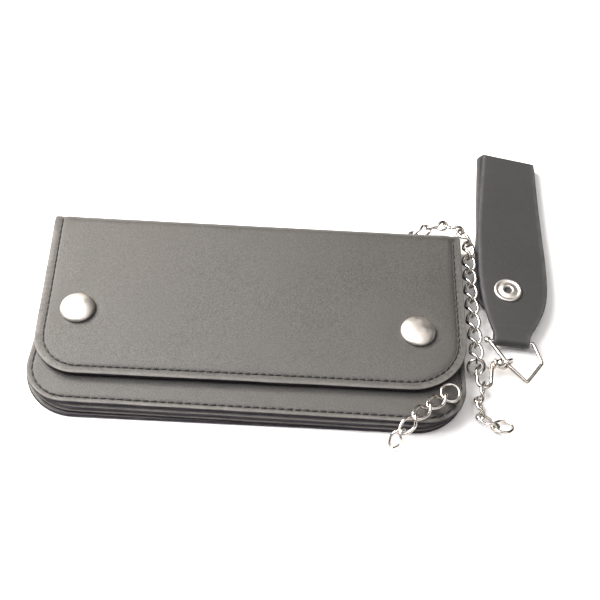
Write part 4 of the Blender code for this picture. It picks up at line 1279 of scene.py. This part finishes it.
def strap_snap():
    """Ringed hollow post on the front leaf, cap under the back leaf, stud and socket between them."""
    turn = Matrix((STRAP_U, STRAP_V, STRAP_W)).transposed().to_4x4()

    def at(node, height):
        local = strap_local(points_of(node))
        u, v, _ = (local.min(0) + local.max(0)) / 2
        return Matrix.Translation(strap_place(u, v, height)) @ turn

    base = LEAF_RISE + LEAF_THICK / 2
    post = in_mm((1.75, 0.55), (1.95, 0.95), (2.3, 1.12), (2.8, 1.1), (3.3, 0.9), (3.9, 0.55), (4.5, 0.38),
                 (4.9, 0.42), (5.3, 0.78), (5.75, 0.92), (6.2, 0.78), (6.45, 0.4), (6.4, 0.02), (2.3, 0.02),
                 (2.2, -3.6), (0, -3.6), (0, -3.4), (1.75, -3.4))
    front = lathe("strap_post", post, at("strap_snap_post", base), CAP_NICKEL, closed=True, sharp=40)
    attach(front, "strap_front", "strap_snap_post")
    # A near-black disc low in the post's bore: painted shade for the deep hollow.
    shade_disc = in_mm((0, 0.12), (1.73, 0.12), (1.73, 0), (0, 0))
    attach(lathe("post_bore_painted_shade", shade_disc, at("strap_snap_post", base - 0.6 * MM), PAINTED_SHADE_METAL), "strap_front")

    local = strap_local(points_of("strap_snap_cap"))
    profile = dome(np.ptp(local[:, 0]) / 2, -base - local[:, 2].min(), 0.5 * MM)
    flip = Matrix.Rotation(math.pi, 4, "X")
    cap = lathe("strap_cap", profile, at("strap_snap_cap", -base) @ flip, CAP_NICKEL)
    attach(cap, "strap_back", "strap_snap_cap")

    height = strap_local(points_of("strap_snap_socket"))[:, 2]
    tall = np.ptp(height) / MM
    profile = in_mm((2.2, tall), (3.2, tall), (3.6, tall - 0.15), (3.9, 0.4), (5.2, 0.38), (5.4, 0.2),
                    (5.2, 0), (2.2, 0))
    socket = lathe("strap_socket", profile, at("strap_snap_socket", height.min()), NICKEL, closed=True)
    attach(socket, "strap_back", "strap_snap_socket")

    height = strap_local(points_of("strap_snap_stud"))[:, 2]
    profile = in_mm((0, 0), (4.5, 0), (4.6, -0.15), (4.2, -0.3), (2.0, -0.32), (1.7, -0.45), (1.7, -0.9),
                    (1.9, -1.1), (1.8, -1.3), (1.4, -1.4), (0, -1.4))
    stud = lathe("strap_stud", profile, at("strap_snap_stud", height.max()), NICKEL)
    attach(stud, "strap_front", "strap_snap_stud")


# ---------------------------------------------------------------- stage

def studio_light():
    """A room that is dark below and bright above."""
    world = bpy.data.worlds.new("studio")
    bpy.context.scene.world = world
    world.use_nodes = True
    tree = world.node_tree
    background = tree.nodes["Background"]
    where = tree.nodes.new("ShaderNodeTexCoord")
    split = tree.nodes.new("ShaderNodeSeparateXYZ")
    ramp = tree.nodes.new("ShaderNodeValToRGB")
    tree.links.new(where.outputs["Generated"], split.inputs[0])
    tree.links.new(split.outputs["Z"], ramp.inputs[0])
    tree.links.new(ramp.outputs[0], background.inputs["Color"])
    stops = ramp.color_ramp.elements
    stops[0].position, stops[0].color = 0.50, (0.055, 0.045, 0.040, 1)
    stops[1].position, stops[1].color = 0.92, (1.0, 0.98, 0.96, 1)
    stops.new(0.74).color = (0.16, 0.145, 0.135, 1)
    background.inputs["Strength"].default_value = 0.8


LAMPS = (("key", (-0.66, 0.06, 0.85), 0.60, 20.0, (1, 1, 1)),
         ("window", (-0.68, 0.54, 0.68), 0.42, 30.0, (1.0, 0.93, 0.85)),
         ("fill", (0.55, -0.75, 0.95), 0.8, 3.0, (1, 1, 1)),
         ("top", (0.0, -0.2, 1.3), 0.9, 5.0, (1, 1, 1)))       # name, place, size, watts, colour


def stage():
    bpy.ops.mesh.primitive_plane_add(size=3.0, location=(0, 0, -0.15 * MM))
    floor = bpy.context.object
    floor.name = "floor"
    paper = Finish("floor_paper", "black_leather")
    paper.set(Base_Color=(0.90, 0.89, 0.885, 1), Roughness=0.7)
    floor.data.materials.append(paper.material)
    studio_light()
    for name, place, size, power, colour in LAMPS:
        data = bpy.data.lights.new(name, "AREA")
        data.size = size
        data.energy = power
        data.color = colour
        lamp = bpy.data.objects.new(name, data)
        lamp.location = place
        lamp.rotation_euler = (-Vector(place)).to_track_quat("-Z", "Y").to_euler()
        bpy.context.scene.collection.objects.link(lamp)
    bpy.context.scene.view_settings.view_transform = "Standard"


def camera():
    data = bpy.data.cameras.new("camera")
    data.lens = CAMERA_LENS
    data.sensor_width = CAMERA_SENSOR
    obj = bpy.data.objects.new("camera", data)
    bpy.context.scene.collection.objects.link(obj)
    turn = Matrix.Rotation(CAMERA_YAW, 4, "Z") @ Matrix.Rotation(math.pi / 2 - CAMERA_RISE, 4, "X")
    turn = turn @ Matrix.Rotation(CAMERA_ROLL, 4, "Z")
    obj.matrix_world = Matrix.Translation(CAMERA_TARGET) @ turn @ Matrix.Translation((0, 0, CAMERA_DISTANCE))
    bpy.context.scene.camera = obj


for obj in frame["nodes"].values():
    obj.data.materials.clear()
    obj.data.materials.append(NICKEL.material)

cover()
flap_inside()
body_panels()
pockets()
zip_rows()
snaps()
snap_posts()
eyelet()
anchor_tab()
chain()
fittings()
swivel()
strap()
strap_snap()
stage()
camera()
